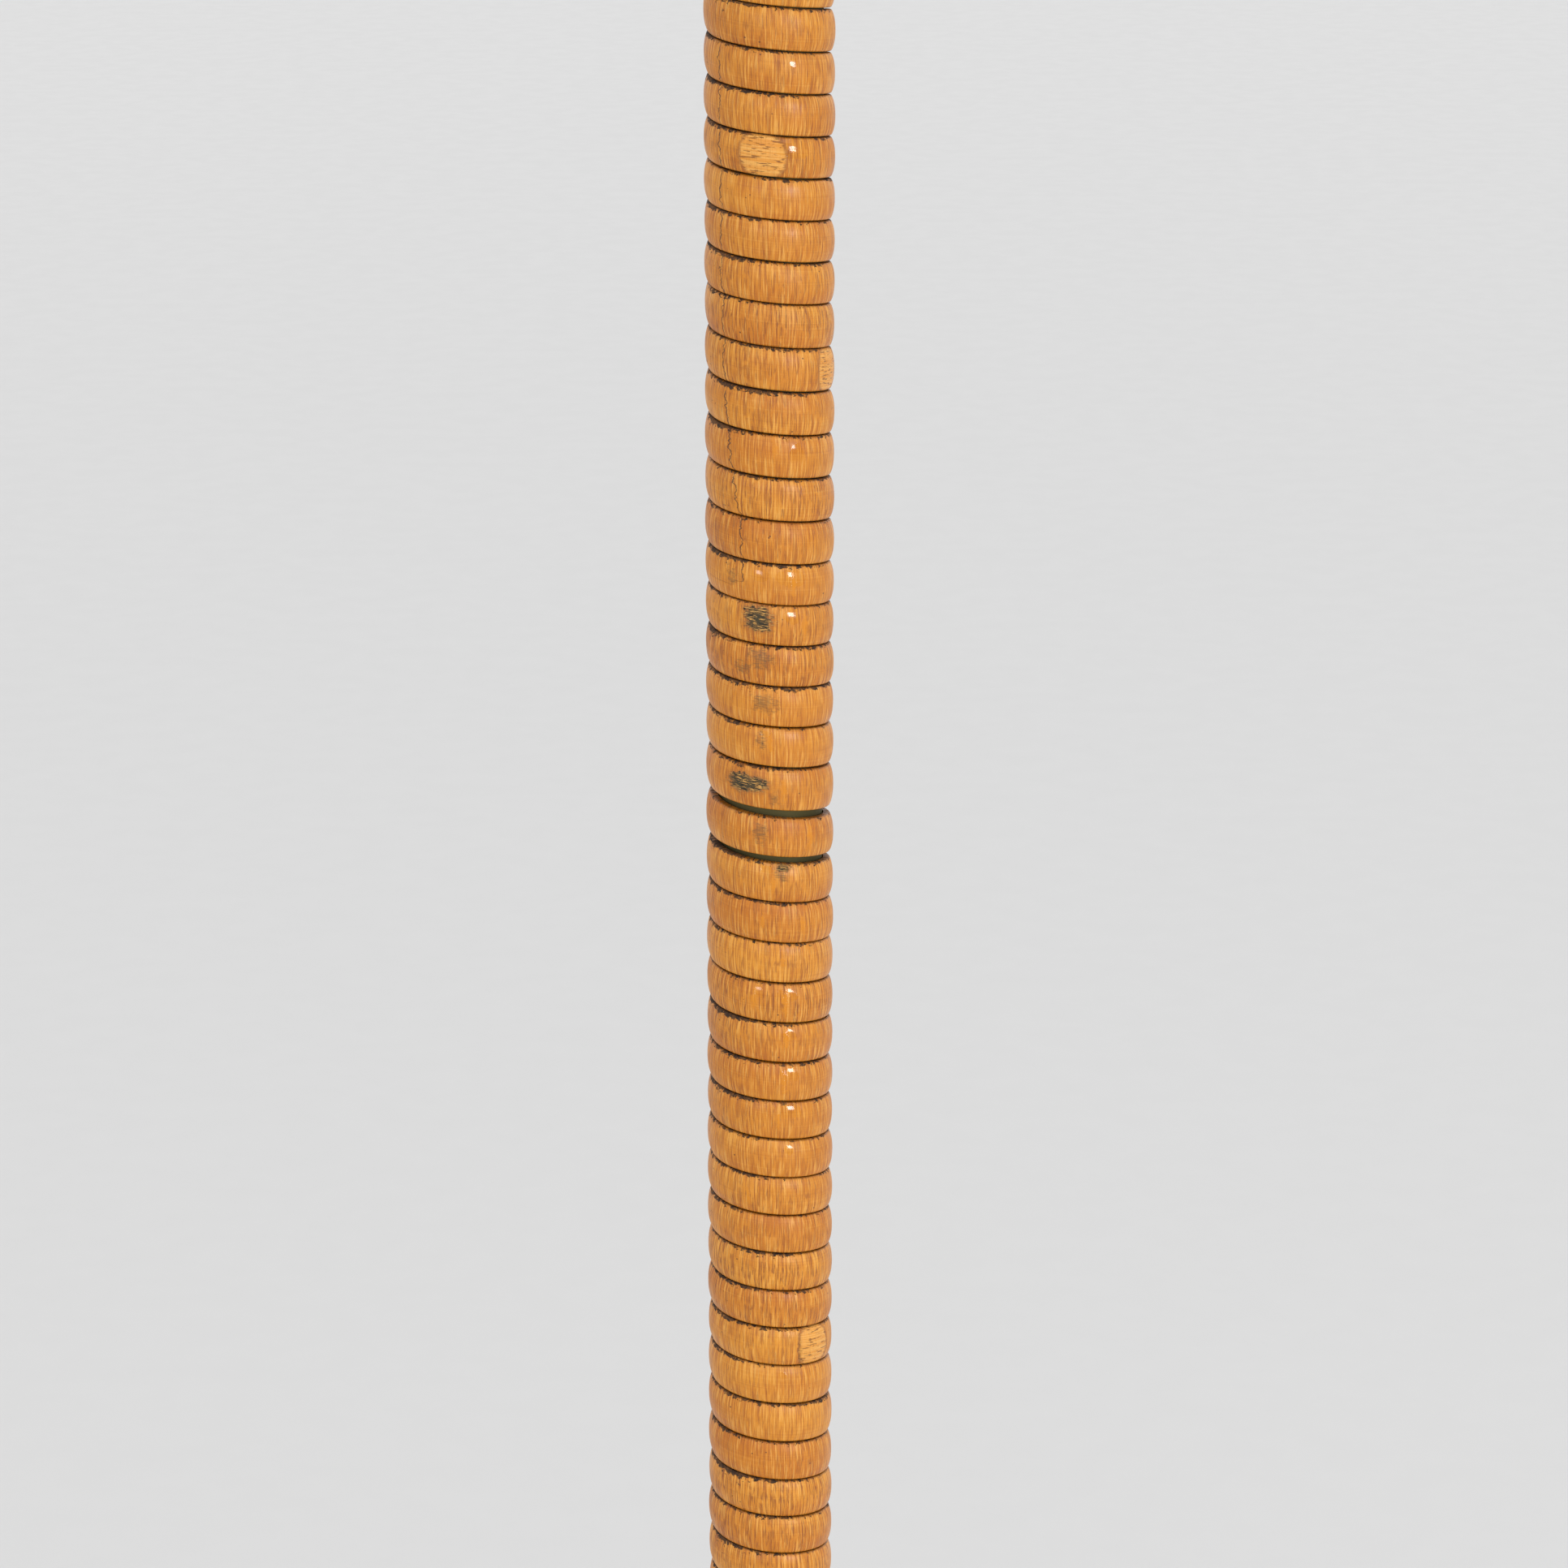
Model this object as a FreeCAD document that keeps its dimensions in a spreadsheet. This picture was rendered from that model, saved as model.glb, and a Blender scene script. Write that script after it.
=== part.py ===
import FreeCAD, Part
import math
import os
import Sketcher

# Floor lamp with a cane-wound brass stem. Millimetres, +Z up, the floor at z = 0 under the
# middle of the base. The front faces -Y and the mains inlet is at the rear, towards +Y.

SIZES = {
    # base
    "base_radius": 140.0,
    "base_rim": 13.0,
    "shoulder": 6.0,
    "dome_rise": 14.0,
    "step_radius": 58.0,
    "step_rise": 2.5,
    "step_width": 4.0,
    "neck_radius": 27.0,
    "neck_rise": 15.0,
    "cover_wall": 1.0,
    "cover_lift": 1.5,
    "felt_thickness": 2.0,
    "felt_inset": 6.0,
    "felt_hole": 30.0,
    "weight_gap": 0.3,
    "weight_edge": 12.0,
    "weight_cone_rise": 8.0,
    "weight_hub": 22.0,
    "recess_radius": 19.0,
    "recess_depth": 12.0,
    "channel_width": 11.0,
    "channel_height": 11.5,
    "gland_height": 8.0,
    "gland_bore": 3.6,
    "gland_barrel": 4.9,
    "gland_length": 12.0,
    "gland_flange": 5.8,
    "gland_flange_thickness": 1.5,
    "collar_radius": 24.0,
    "collar_height": 16.0,
    "collar_waist": 14.5,
    "socket_depth": 10.0,
    # threaded tubes, nuts and washers
    "nipple_radius": 5.0,
    "nipple_bore": 3.5,
    "nipple_clear": 3.0,
    "nipple_tail": 2.0,
    "washer_radius": 16.0,
    "washer_thickness": 2.0,
    "lock_washer_radius": 9.0,
    "lock_washer_thickness": 1.5,
    "lock_washer_turn": 345.0,
    "nut_flats": 14.0,
    "nut_height": 3.5,
    "fit_gap": 0.05,
    # stem
    "tube_radius": 10.0,
    "tube_wall": 1.5,
    "bushing_length": 14.0,
    "bare_below": 120.0,
    "bare_above": 130.0,
    "ferrule_floor": 1.5,
    "ferrule_wall": 1.2,
    "ferrule_depth": 12.0,
    "ferrule_bead": 0.6,
    # cane winding
    "cane_width": 7.55,
    "cane_crown": 6.1,
    "cane_thickness": 1.9,
    "cane_pitch": 8.0,
    "cane_glue": 0.2,
    "strip_turns": 24,
    "strip_count": 4,
    "strip_joint": 0.5,
    "winding_gap": 0.3,
    # head
    "cup_skirt": 8.0,
    "cup_skirt_radius": 13.5,
    "cup_web": 3.0,
    "cup_depth": 13.0,
    "cup_radius": 25.0,
    "cup_wall": 2.0,
    "cup_foot": 4.8,
    "cup_lip": 2.0,
    "cup_lip_taper": 1.0,
    "cup_lip_swell": 0.2,
    "cup_bowl": 5.0,
    "holder_wall": 0.8,
    "shell_gap": 0.1,
    "holder_boss": 8.0,
    "cap_shoulder": 13.0,
    "cap_height": 26.0,
    "shell_radius": 19.1,
    "shell_wall": 0.7,
    "shell_bottom": 14.0,
    "shell_height": 37.0,
    "shell_mouth": 16.5,
    "insulator_height": 13.0,
    "insulator_hole": 2.2,
    "terminal_place": 9.0,
    "terminal_head": 3.0,
    "terminal_head_height": 2.0,
    "terminal_shank": 1.5,
    "terminal_length": 8.0,
    "screw_shell_radius": 13.95,
    "screw_shell_wall": 0.5,
    "screw_shell_height": 22.0,
    "screw_shell_hole": 6.0,
    "contact_width": 5.0,
    "contact_strip": 0.4,
    "contact_rise": 3.4,
    # rotary switch
    "spindle_height": 19.0,
    "spindle_radius": 2.0,
    "spindle_depth": 9.3,
    "knob_seat": 7.1,
    "spindle_gap": 0.3,
    "knob_radius": 7.0,
    "knob_length": 10.0,
    "knob_gap": 1.2,
    "knob_flute": 1.1,
    "knob_flutes": 8,
    # shade
    "ring_height": 30.0,
    "ring_width": 5.9,
    "ring_thickness": 4.0,
    "ring_gap": 0.08,
    "face_gap": 0.05,
    "fitter_gap": 0.3,
    "fitter_margin": 3.0,
    "fitter_thickness": 2.0,
    "wire_radius": 1.6,
    "wire_sides": 12,
    "arm_count": 3,
    "shade_bottom": 200.0,
    "shade_top": 140.0,
    "shade_height": 250.0,
    "shade_wall": 0.8,
    "shade_hem": 1.0,
    "shade_gap": 0.1,
    "trim_height": 10.0,
    "trim_thickness": 0.5,
    # bulb
    "bulb_radius": 30.0,
    "bulb_height": 105.0,
    "bulb_neck": 12.6,
    "bulb_neck_bottom": 22.0,
    "bulb_neck_top": 30.0,
    "bulb_wall": 1.0,
    "bulb_gap": 0.3,
    "bulb_cap_radius": 13.15,
    "bulb_cap_wall": 0.35,
    "bulb_cap_bottom": 5.6,
    "bulb_cap_top": 27.0,
    "bulb_cap_bevel": 1.3,
    "bulb_tip": 4.5,
    "bulb_tip_height": 1.5,
    "bulb_insulator": 11.4,
}

# Where a curve passes or ends, as shares of its form's own width or height.
SHOULDER_END = 0.85
SHOULDER_SIDE = 0.3
SHOULDER_RISE = 0.55
DOME_RISE = 0.78
NECK_TOP = 0.8
NECK_SIDE = 0.22
NECK_RISE = 0.24
COLLAR_FOOT = 0.2
COLLAR_WAIST = 0.75
COLLAR_SIDE = 0.25
COLLAR_RISE = 0.4
COLLAR_LIP = 0.1
COLLAR_LIP_RISE = 0.875
BEAD_CORNER = 0.6
CUP_SIDE = 0.82
CUP_RISE = 0.7
CUP_BOWL_SIDE = 0.6
CUP_BOWL_RISE = 0.4
CAP_FOOT = 0.2
CAP_SIDE = 0.76
CAP_RISE = 0.45
ROLLED_CORNER = 0.3
KNOB_SHOULDER = 0.7
KNOB_TOP = 0.8
KNOB_SIDE = 0.95
KNOB_RISE = 0.9
RING_BEVEL = 0.2
CROWN_SIDE = 0.8
CROWN_FOOT = 0.6
FLARE_SIDE = 0.27
FLARE_RISE = 0.55
TIP_SIDE = 0.75
TIP_RISE = 0.35
TONGUE_REACH = 0.9
TONGUE_BEND = 0.45
TONGUE_UNDER_BEND = 0.38
TONGUE_RISE_END = 0.6
TONGUE_UNDER_RISE_END = 0.65
TONGUE_TIP = 0.75
GAP_SAMPLES = 72

doc = FreeCAD.newDocument("floor_lamp")
sheet = doc.addObject("Spreadsheet::Sheet", "sizes")
for row, (alias, number) in enumerate(SIZES.items(), start=1):
    sheet.set(f"A{row}", alias)
    sheet.set(f"B{row}", str(number))
    sheet.setAlias(f"B{row}", alias)
doc.recompute()


class Size:
    """A length that follows the sheet: the formula binds features, the value starts their geometry."""

    def __init__(self, formula, value):
        self.formula = formula
        self.value = value

    def __add__(self, other):
        return Size(f"({self.formula} + {formula_of(other)})", self.value + value_of(other))

    def __sub__(self, other):
        return Size(f"({self.formula} - {formula_of(other)})", self.value - value_of(other))

    def __mul__(self, other):
        return Size(f"({self.formula} * {formula_of(other)})", self.value * value_of(other))

    def __truediv__(self, other):
        return Size(f"({self.formula} / {formula_of(other)})", self.value / value_of(other))

    def __neg__(self):
        return Size(f"(0 - {self.formula})", -self.value)


def formula_of(length):
    return length.formula if isinstance(length, Size) else str(length)


def value_of(length):
    return length.value if isinstance(length, Size) else float(length)


class Sheet:
    """Gives each cell of the sheet as a Size under its alias."""

    def __getattr__(self, alias):
        return Size(f"sizes.{alias}", float(sheet.get(alias)))


size = Sheet()
X_AXIS = FreeCAD.Vector(1, 0, 0)
Y_AXIS = FreeCAD.Vector(0, 1, 0)
Z_AXIS = FreeCAD.Vector(0, 0, 1)
nodes = []


def vector(x=0.0, y=0.0, z=0.0):
    return FreeCAD.Vector(value_of(x), value_of(y), value_of(z))


def bind(item, path, length):
    """Set one property of a feature and tie it to the sheet."""
    if isinstance(length, Size):
        item.setExpression(path, length.formula)


def place(item, z=0.0, y=0.0, axis=Z_AXIS, angle=0.0):
    """Put a finished piece at its height, turned about one axis."""
    item.Placement = FreeCAD.Placement(vector(0, y, z), FreeCAD.Rotation(axis, angle))
    bind(item, "Placement.Base.z", z)
    bind(item, "Placement.Base.y", y)


def new_body(label):
    body = doc.addObject("PartDesign::Body", label)
    body.Label = label
    nodes.append(body)
    return body


def new_sketch(body, role, name):
    plane = [feature for feature in body.Origin.OriginFeatures if feature.Role == role][0]
    sketch = body.newObject("Sketcher::SketchObject", name)
    sketch.AttachmentSupport = (plane, [""])
    sketch.MapMode = "FlatFace"
    return sketch


def fix_point(sketch, element, end, across, up):
    """Hold one point of a sketch at its place from the sketch's origin."""
    for kind, length, axis in (("DistanceX", across, -2), ("DistanceY", up, -1)):
        if not isinstance(length, Size) and length == 0:
            sketch.addConstraint(Sketcher.Constraint("PointOnObject", element, end, axis))
            continue
        distance = Sketcher.Constraint(kind, -1, 1, element, end, value_of(length))
        index = sketch.addConstraint(distance)
        bind(sketch, f"Constraints[{index}]", length)


def draw_outline(sketch, corners):
    """Draw a closed outline: a corner is (across, up), or (across, up, middle across, middle up)
    where an arc through that middle point leads to it."""
    ends = []
    for index, corner in enumerate(corners):
        before = corners[index - 1]
        start = vector(before[0], before[1])
        end = vector(corner[0], corner[1])
        if len(corner) == 2:
            element = sketch.addGeometry(Part.LineSegment(start, end), False)
            ends.append((element, 1, 2))
            continue
        middle = vector(corner[2], corner[3])
        forward = (middle - start).cross(end - middle).z > 0
        arc = Part.Arc(start, middle, end) if forward else Part.Arc(end, middle, start)
        element = sketch.addGeometry(arc, False)
        ends.append((element, 1, 2) if forward else (element, 2, 1))
        point = sketch.addGeometry(Part.Point(middle), True)
        fix_point(sketch, point, 1, corner[2], corner[3])
        sketch.addConstraint(Sketcher.Constraint("PointOnObject", point, 1, element))
    for index, corner in enumerate(corners):
        element, _, last = ends[index]
        following, first, _ = ends[(index + 1) % len(ends)]
        sketch.addConstraint(Sketcher.Constraint("Coincident", element, last, following, first))
        fix_point(sketch, element, last, corner[0], corner[1])


def draw_circle(sketch, across, up, radius):
    centre = vector(across, up)
    element = sketch.addGeometry(Part.Circle(centre, Z_AXIS, value_of(radius)), False)
    fix_point(sketch, element, 3, across, up)
    index = sketch.addConstraint(Sketcher.Constraint("Radius", element, value_of(radius)))
    bind(sketch, f"Constraints[{index}]", radius)


def revolve(body, corners, angle=360.0, name="turned"):
    """Turn an outline of (radius, height) corners about the body's Z axis."""
    sketch = new_sketch(body, "XZ_Plane", f"{name}_outline")
    draw_outline(sketch, corners)
    feature = body.newObject("PartDesign::Revolution", name)
    feature.Profile = sketch
    feature.ReferenceAxis = (sketch, ["V_Axis"])
    feature.Angle = value_of(angle)
    bind(feature, "Angle", angle)
    sketch.Visibility = False
    doc.recompute()
    return feature


def turned(label, corners, angle=360.0):
    body = new_body(label)
    revolve(body, corners, angle)
    return body


def hollow_out(body, solid, height, wall):
    """Shell a turned solid inwards, open at the flat face that lies at the given height."""
    flat = [
        f"Face{index}"
        for index, face in enumerate(solid.Shape.Faces, start=1)
        if face.BoundBox.ZLength < 0.001 and abs(face.BoundBox.ZMin - value_of(height)) < 0.001
    ]
    shell = body.newObject("PartDesign::Thickness", "shell")
    shell.Base = (solid, flat)
    shell.Value = value_of(wall)
    bind(shell, "Value", wall)
    shell.Reversed = True
    shell.Join = 0
    doc.recompute()
    return shell


def cut_sketch(body, sketch, length, reverse=False):
    """Pocket a sketch to a length, and see that it takes something away."""
    before = body.Shape.Volume
    pocket = body.newObject("PartDesign::Pocket", f"{sketch.Name}_cut")
    pocket.Profile = sketch
    pocket.Length = value_of(length)
    bind(pocket, "Length", length)
    pocket.Reversed = reverse
    sketch.Visibility = False
    doc.recompute()
    if body.Shape.Volume >= before:
        raise ValueError(f"{pocket.Name} takes nothing away")
    return pocket


def drill_up(body, radius, length, across=0.0, up=0.0, name="bore"):
    """Drill a round hole upwards from the body's own z = 0."""
    sketch = new_sketch(body, "XY_Plane", name)
    draw_circle(sketch, across, up, radius)
    return cut_sketch(body, sketch, length, reverse=True)


def drill_right(body, radius, height, length, start=0.0, name="side_hole"):
    """Drill a round hole towards +X from a distance off the body's axis."""
    sketch = new_sketch(body, "YZ_Plane", name)
    sketch.AttachmentOffset = FreeCAD.Placement(vector(0, 0, start), FreeCAD.Rotation())
    bind(sketch, "AttachmentOffset.Base.z", start)
    draw_circle(sketch, 0, height, radius)
    return cut_sketch(body, sketch, length, reverse=True)


def hexagon_nut(label):
    """A hexagon nut: six equal flats about a plain bore."""
    body = new_body(label)
    sketch = new_sketch(body, "XY_Plane", "flats")
    corner = size.nut_flats / math.sqrt(3)
    half = corner / 2
    flat = size.nut_flats / 2
    draw_outline(sketch, [
        (corner, 0), (half, flat), (-half, flat), (-corner, 0), (-half, -flat), (half, -flat),
    ])
    pad = body.newObject("PartDesign::Pad", "hexagon")
    pad.Profile = sketch
    pad.Length = value_of(size.nut_height)
    bind(pad, "Length", size.nut_height)
    doc.recompute()
    drill_up(body, size.nipple_radius + size.fit_gap, size.nut_height)
    return body


def threaded_tube(label, length):
    return turned(label, [
        (size.nipple_bore, 0),
        (size.nipple_radius, 0),
        (size.nipple_radius, length),
        (size.nipple_bore, length),
    ])


# Heights that pieces share, each worked out from the pieces below it.
cover_height = size.base_rim + size.dome_rise + size.step_rise + size.neck_rise
cover_top = size.cover_lift + cover_height
stem_bottom = cover_top + size.collar_height - size.socket_depth
ferrule_bottom = cover_top + size.collar_height + size.bare_below
winding_bottom = ferrule_bottom + size.ferrule_floor + size.winding_gap
winding_rise = size.cane_pitch * size.strip_turns * size.strip_count + size.cane_width
winding_top = winding_bottom + winding_rise
ferrule_top = winding_top + size.winding_gap + size.ferrule_floor
stem_top = ferrule_top + size.bare_above
nut_seat = stem_top + size.cup_web
holder_base = nut_seat + size.nut_height
screw_bore = size.nipple_radius + size.fit_gap
tube_seat = size.tube_radius + size.fit_gap
holder_radius = size.shell_radius + size.shell_gap + size.holder_wall


def make_base_felt():
    body = turned("base_felt", [
        (size.felt_hole, 0),
        (size.base_radius - size.felt_inset, 0),
        (size.base_radius - size.felt_inset, size.felt_thickness),
        (size.felt_hole, size.felt_thickness),
    ])
    place(body)


def make_base_weight():
    edge = size.base_radius - size.cover_wall - size.weight_gap
    hub_top = cover_top - size.cover_wall - size.felt_thickness
    body = turned("base_weight", [
        (screw_bore, size.recess_depth),
        (size.recess_radius, size.recess_depth),
        (size.recess_radius, 0),
        (edge, 0),
        (edge, size.weight_edge),
        (size.weight_hub, size.weight_edge + size.weight_cone_rise),
        (size.weight_hub, hub_top),
        (screw_bore, hub_top),
    ])
    channel = new_sketch(body, "XY_Plane", "cable_channel")
    half = size.channel_width / 2
    draw_outline(channel, [
        (half, 0), (half, size.base_radius), (-half, size.base_radius), (-half, 0),
    ])
    cut_sketch(body, channel, size.channel_height, reverse=True)
    place(body, z=size.felt_thickness)


def make_base_cover():
    """The spun cover: a rim, a rounded shoulder, a low dome, a step and a hollow neck."""
    dome_top = size.base_rim + size.dome_rise
    step_top = dome_top + size.step_rise
    shoulder_top = size.base_rim + size.shoulder * SHOULDER_END
    step_in = size.step_radius - size.step_width
    body = new_body("base_cover")
    solid = revolve(body, [
        (0, 0),
        (size.base_radius, 0),
        (size.base_radius, size.base_rim),
        (size.base_radius - size.shoulder, shoulder_top,
         size.base_radius - size.shoulder * SHOULDER_SIDE, size.base_rim + size.shoulder * SHOULDER_RISE),
        (size.step_radius, dome_top,
         (size.base_radius + size.step_radius) / 2, size.base_rim + size.dome_rise * DOME_RISE),
        (size.step_radius, step_top),
        (step_in, step_top),
        (size.neck_radius, step_top + size.neck_rise * NECK_TOP,
         size.neck_radius + (step_in - size.neck_radius) * NECK_SIDE,
         step_top + size.neck_rise * NECK_RISE),
        (size.neck_radius, cover_height),
        (0, cover_height),
    ])
    hollow_out(body, solid, 0, size.cover_wall)
    drill_up(body, screw_bore, cover_height)
    rear = new_sketch(body, "XZ_Plane", "rear_hole")
    draw_circle(rear, 0, size.gland_height - size.cover_lift, size.gland_barrel + size.fit_gap)
    cut_sketch(body, rear, size.base_radius)
    place(body, z=size.cover_lift)


def make_cable_gland():
    """The bush that a mains cord would leave by, through the rear of the rim."""
    body = turned("cable_gland", [
        (size.gland_bore, -size.gland_length),
        (size.gland_barrel, -size.gland_length),
        (size.gland_barrel, size.face_gap),
        (size.gland_flange, size.face_gap),
        (size.gland_flange, size.gland_flange_thickness),
        (size.gland_bore, size.gland_flange_thickness),
    ])
    place(body, z=size.gland_height, y=size.base_radius, axis=X_AXIS, angle=-90.0)


def make_base_collar():
    body = turned("base_collar", [
        (screw_bore, 0),
        (size.collar_radius, 0),
        (size.collar_radius, size.collar_height * COLLAR_FOOT),
        (size.collar_waist, size.collar_height * COLLAR_WAIST,
         size.collar_waist + (size.collar_radius - size.collar_waist) * COLLAR_SIDE,
         size.collar_height * COLLAR_RISE),
        (size.collar_waist, size.collar_height,
         size.collar_waist + size.collar_height * COLLAR_LIP, size.collar_height * COLLAR_LIP_RISE),
        (tube_seat, size.collar_height),
        (tube_seat, size.collar_height - size.socket_depth),
        (screw_bore, size.collar_height - size.socket_depth),
    ])
    place(body, z=cover_top)


def make_base_fixings():
    """The threaded tube through the weight, with its washers and nut in the recess below."""
    nipple_bottom = size.felt_thickness + size.nipple_clear
    nipple_top = stem_bottom + size.bushing_length - size.nipple_tail
    place(threaded_tube("base_nipple", nipple_top - nipple_bottom), z=nipple_bottom)
    washer = turned("base_washer", [
        (screw_bore, 0),
        (size.washer_radius, 0),
        (size.washer_radius, size.washer_thickness),
        (screw_bore, size.washer_thickness),
    ])
    washer_bottom = size.felt_thickness + size.recess_depth - size.washer_thickness
    place(washer, z=washer_bottom)
    lock_washer = turned("lock_washer", [
        (screw_bore, 0),
        (size.lock_washer_radius, 0),
        (size.lock_washer_radius, size.lock_washer_thickness),
        (screw_bore, size.lock_washer_thickness),
    ], size.lock_washer_turn)
    lock_bottom = washer_bottom - size.lock_washer_thickness
    place(lock_washer, z=lock_bottom)
    place(hexagon_nut("base_nut"), z=lock_bottom - size.nut_height)


def make_stem():
    bore = size.tube_radius - size.tube_wall
    length = stem_top - stem_bottom
    place(turned("stem_tube", [
        (bore, 0), (size.tube_radius, 0), (size.tube_radius, length), (bore, length),
    ]), z=stem_bottom)
    for label, bottom in (
        ("lower_bushing", stem_bottom),
        ("upper_bushing", stem_top - size.bushing_length),
    ):
        place(turned(label, [
            (screw_bore, 0),
            (bore - size.fit_gap, 0),
            (bore - size.fit_gap, size.bushing_length),
            (screw_bore, size.bushing_length),
        ]), z=bottom)


def make_ferrules():
    """Two cups that hide the ends of the winding, the upper one upside down."""
    inner = size.tube_radius + size.cane_glue + size.cane_thickness + size.winding_gap
    outer = inner + size.ferrule_wall
    bead = size.ferrule_bead
    for label, height, angle in (
        ("lower_ferrule", ferrule_bottom, 0.0),
        ("upper_ferrule", ferrule_top, 180.0),
    ):
        place(turned(label, [
            (tube_seat, 0),
            (outer - bead * 2, 0),
            (outer, bead * 2, outer - bead * BEAD_CORNER, bead * BEAD_CORNER),
            (outer, size.ferrule_depth - bead * 3),
            (outer, size.ferrule_depth, outer + bead, size.ferrule_depth - bead * 1.5),
            (inner, size.ferrule_depth),
            (inner, size.ferrule_floor),
            (tube_seat, size.ferrule_floor),
        ]), z=height, axis=X_AXIS, angle=angle)


def helix_point(radius, turns):
    """A point of the left-handed helix, counted in turns from the back of the stem."""
    angle = 2 * math.pi * turns
    return vector(radius * math.sin(angle), radius * math.cos(angle), size.cane_pitch.value * turns)


def helix_heading(radius, turns):
    """The direction of travel along the helix at a point."""
    angle = 2 * math.pi * turns
    lead = size.cane_pitch.value / (2 * math.pi)
    return vector(radius * math.cos(angle), -radius * math.sin(angle), lead).normalize()


def tangent_arc(start, heading, end):
    """The arc that leaves start along heading and reaches end."""
    chord = end - start
    along = heading.dot(chord) / chord.Length
    aside = (heading - chord * (along / chord.Length)).normalize()
    sagitta = chord.Length / 2 * math.tan(math.acos(min(1.0, along)) / 2)
    return Part.Arc(start, start + chord * 0.5 + aside * sagitta, end).toShape()


def helix_path(radius, first, last, spans):
    """The helix from one turn to another as biarcs, tangent to it where they meet."""
    edges = []
    step = (last - first) / spans
    for span in range(spans):
        start = helix_point(radius, first + step * span)
        end = helix_point(radius, first + step * (span + 1))
        leaving = helix_heading(radius, first + step * span)
        arriving = helix_heading(radius, first + step * (span + 1))
        chord = end - start
        pull = chord.dot(leaving + arriving)
        spread = 2 * (1 - leaving.dot(arriving))
        reach = (math.sqrt(pull * pull + spread * chord.dot(chord)) - pull) / spread
        joint = (start + leaving * reach + end - arriving * reach) * 0.5
        edges.append(tangent_arc(start, leaving, joint))
        edges.append(tangent_arc(end, -arriving, joint))
    return Part.Wire(edges)


def cane_section(first):
    """The strip's cut end: flat against the stem, with a narrower flat crown."""
    inner = (size.tube_radius + size.cane_glue).value
    outer = inner + size.cane_thickness.value
    foot = size.cane_width.value / 2
    crown = size.cane_crown.value / 2
    angle = 2 * math.pi * first
    outward = vector(math.sin(angle), math.cos(angle))
    base = Z_AXIS * (size.cane_pitch.value * first)
    corners = [(inner, -foot), (inner, foot), (outer, crown), (outer, -crown)]
    points = [outward * radius + Z_AXIS * height + base for radius, height in corners]
    return Part.makePolygon(points + points[:1])


def least_gap(strips):
    """The least distance between neighbouring turns, measured on points of their edges."""
    inner = (size.tube_radius + size.cane_glue).value
    foot = Z_AXIS * (size.cane_width.value / 2)
    quarter = GAP_SAMPLES // 4
    gaps = []
    for step in range(GAP_SAMPLES):
        lower = helix_point(inner, step / GAP_SAMPLES) + foot
        for other in range(-quarter, quarter + 1):
            upper = helix_point(inner, 1 + (step + other) / GAP_SAMPLES) - foot
            gaps.append((upper - lower).Length)
    print(f"winding: {strips} strips, least gap between turns {min(gaps):.3f} mm")


def make_winding():
    """Cane strips wound one after the other, left-handed, glued side by side on the stem."""
    radius = (size.tube_radius + size.cane_glue + size.cane_thickness / 2).value
    turns = int(size.strip_turns.value)
    joint = size.strip_joint.value / (2 * math.pi * radius)
    strips = []
    for strip in range(int(size.strip_count.value)):
        first = strip * turns
        path = helix_path(radius, first, first + turns - joint, turns * 2)
        sweep = Part.BRepOffsetAPI.MakePipeShell(path)
        sweep.setBiNormalMode(Z_AXIS)
        sweep.add(cane_section(first), False, False)
        sweep.build()
        sweep.makeSolid()
        strips.append(sweep.shape())
    feature = doc.addObject("Part::Feature", "rattan_winding")
    feature.Label = "rattan_winding"
    feature.Shape = Part.makeCompound(strips)
    start = winding_bottom + size.cane_width / 2
    place(feature, z=start)
    nodes.append(feature)
    least_gap(len(strips))


def make_head_cup():
    skirt = size.cup_skirt
    floor = skirt + size.cup_web
    top = floor + size.cup_depth
    inside = size.cup_radius - size.cup_wall
    body = turned("head_cup", [
        (tube_seat, 0),
        (size.cup_skirt_radius, 0),
        (size.cup_skirt_radius, size.cup_foot),
        (size.cup_radius - size.cup_lip_taper, top - size.cup_lip,
         size.cup_radius * CUP_SIDE, skirt + size.cup_web * CUP_RISE),
        (size.cup_radius, top, size.cup_radius + size.cup_lip_swell, top - size.cup_lip / 2),
        (inside, top),
        (inside - size.cup_bowl, floor,
         inside - size.cup_wall / 2 * CUP_BOWL_SIDE, floor + size.cup_depth * CUP_BOWL_RISE),
        (screw_bore, floor),
        (screw_bore, skirt),
        (tube_seat, skirt),
    ])
    place(body, z=stem_top - size.cup_skirt)


def make_head_fixings():
    tail = size.bushing_length - size.nipple_tail
    length = tail + size.cup_web + size.nut_height + size.nipple_tail * 2
    place(threaded_tube("holder_nipple", length), z=stem_top - tail)
    place(hexagon_nut("holder_locknut"), z=nut_seat)


def make_lampholder_cap():
    body = new_body("lampholder_cap")
    boss = size.holder_boss
    span = holder_radius - boss
    solid = revolve(body, [
        (0, 0),
        (boss, 0),
        (boss, size.cap_shoulder * CAP_FOOT),
        (holder_radius, size.cap_shoulder, boss + span * CAP_SIDE, size.cap_shoulder * CAP_RISE),
        (holder_radius, size.cap_height),
        (0, size.cap_height),
    ])
    hollow_out(body, solid, size.cap_height, size.holder_wall)
    drill_up(body, screw_bore, size.cap_shoulder)
    drill_right(body, size.spindle_radius + size.spindle_gap, size.spindle_height, holder_radius)
    place(body, z=holder_base)


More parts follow.
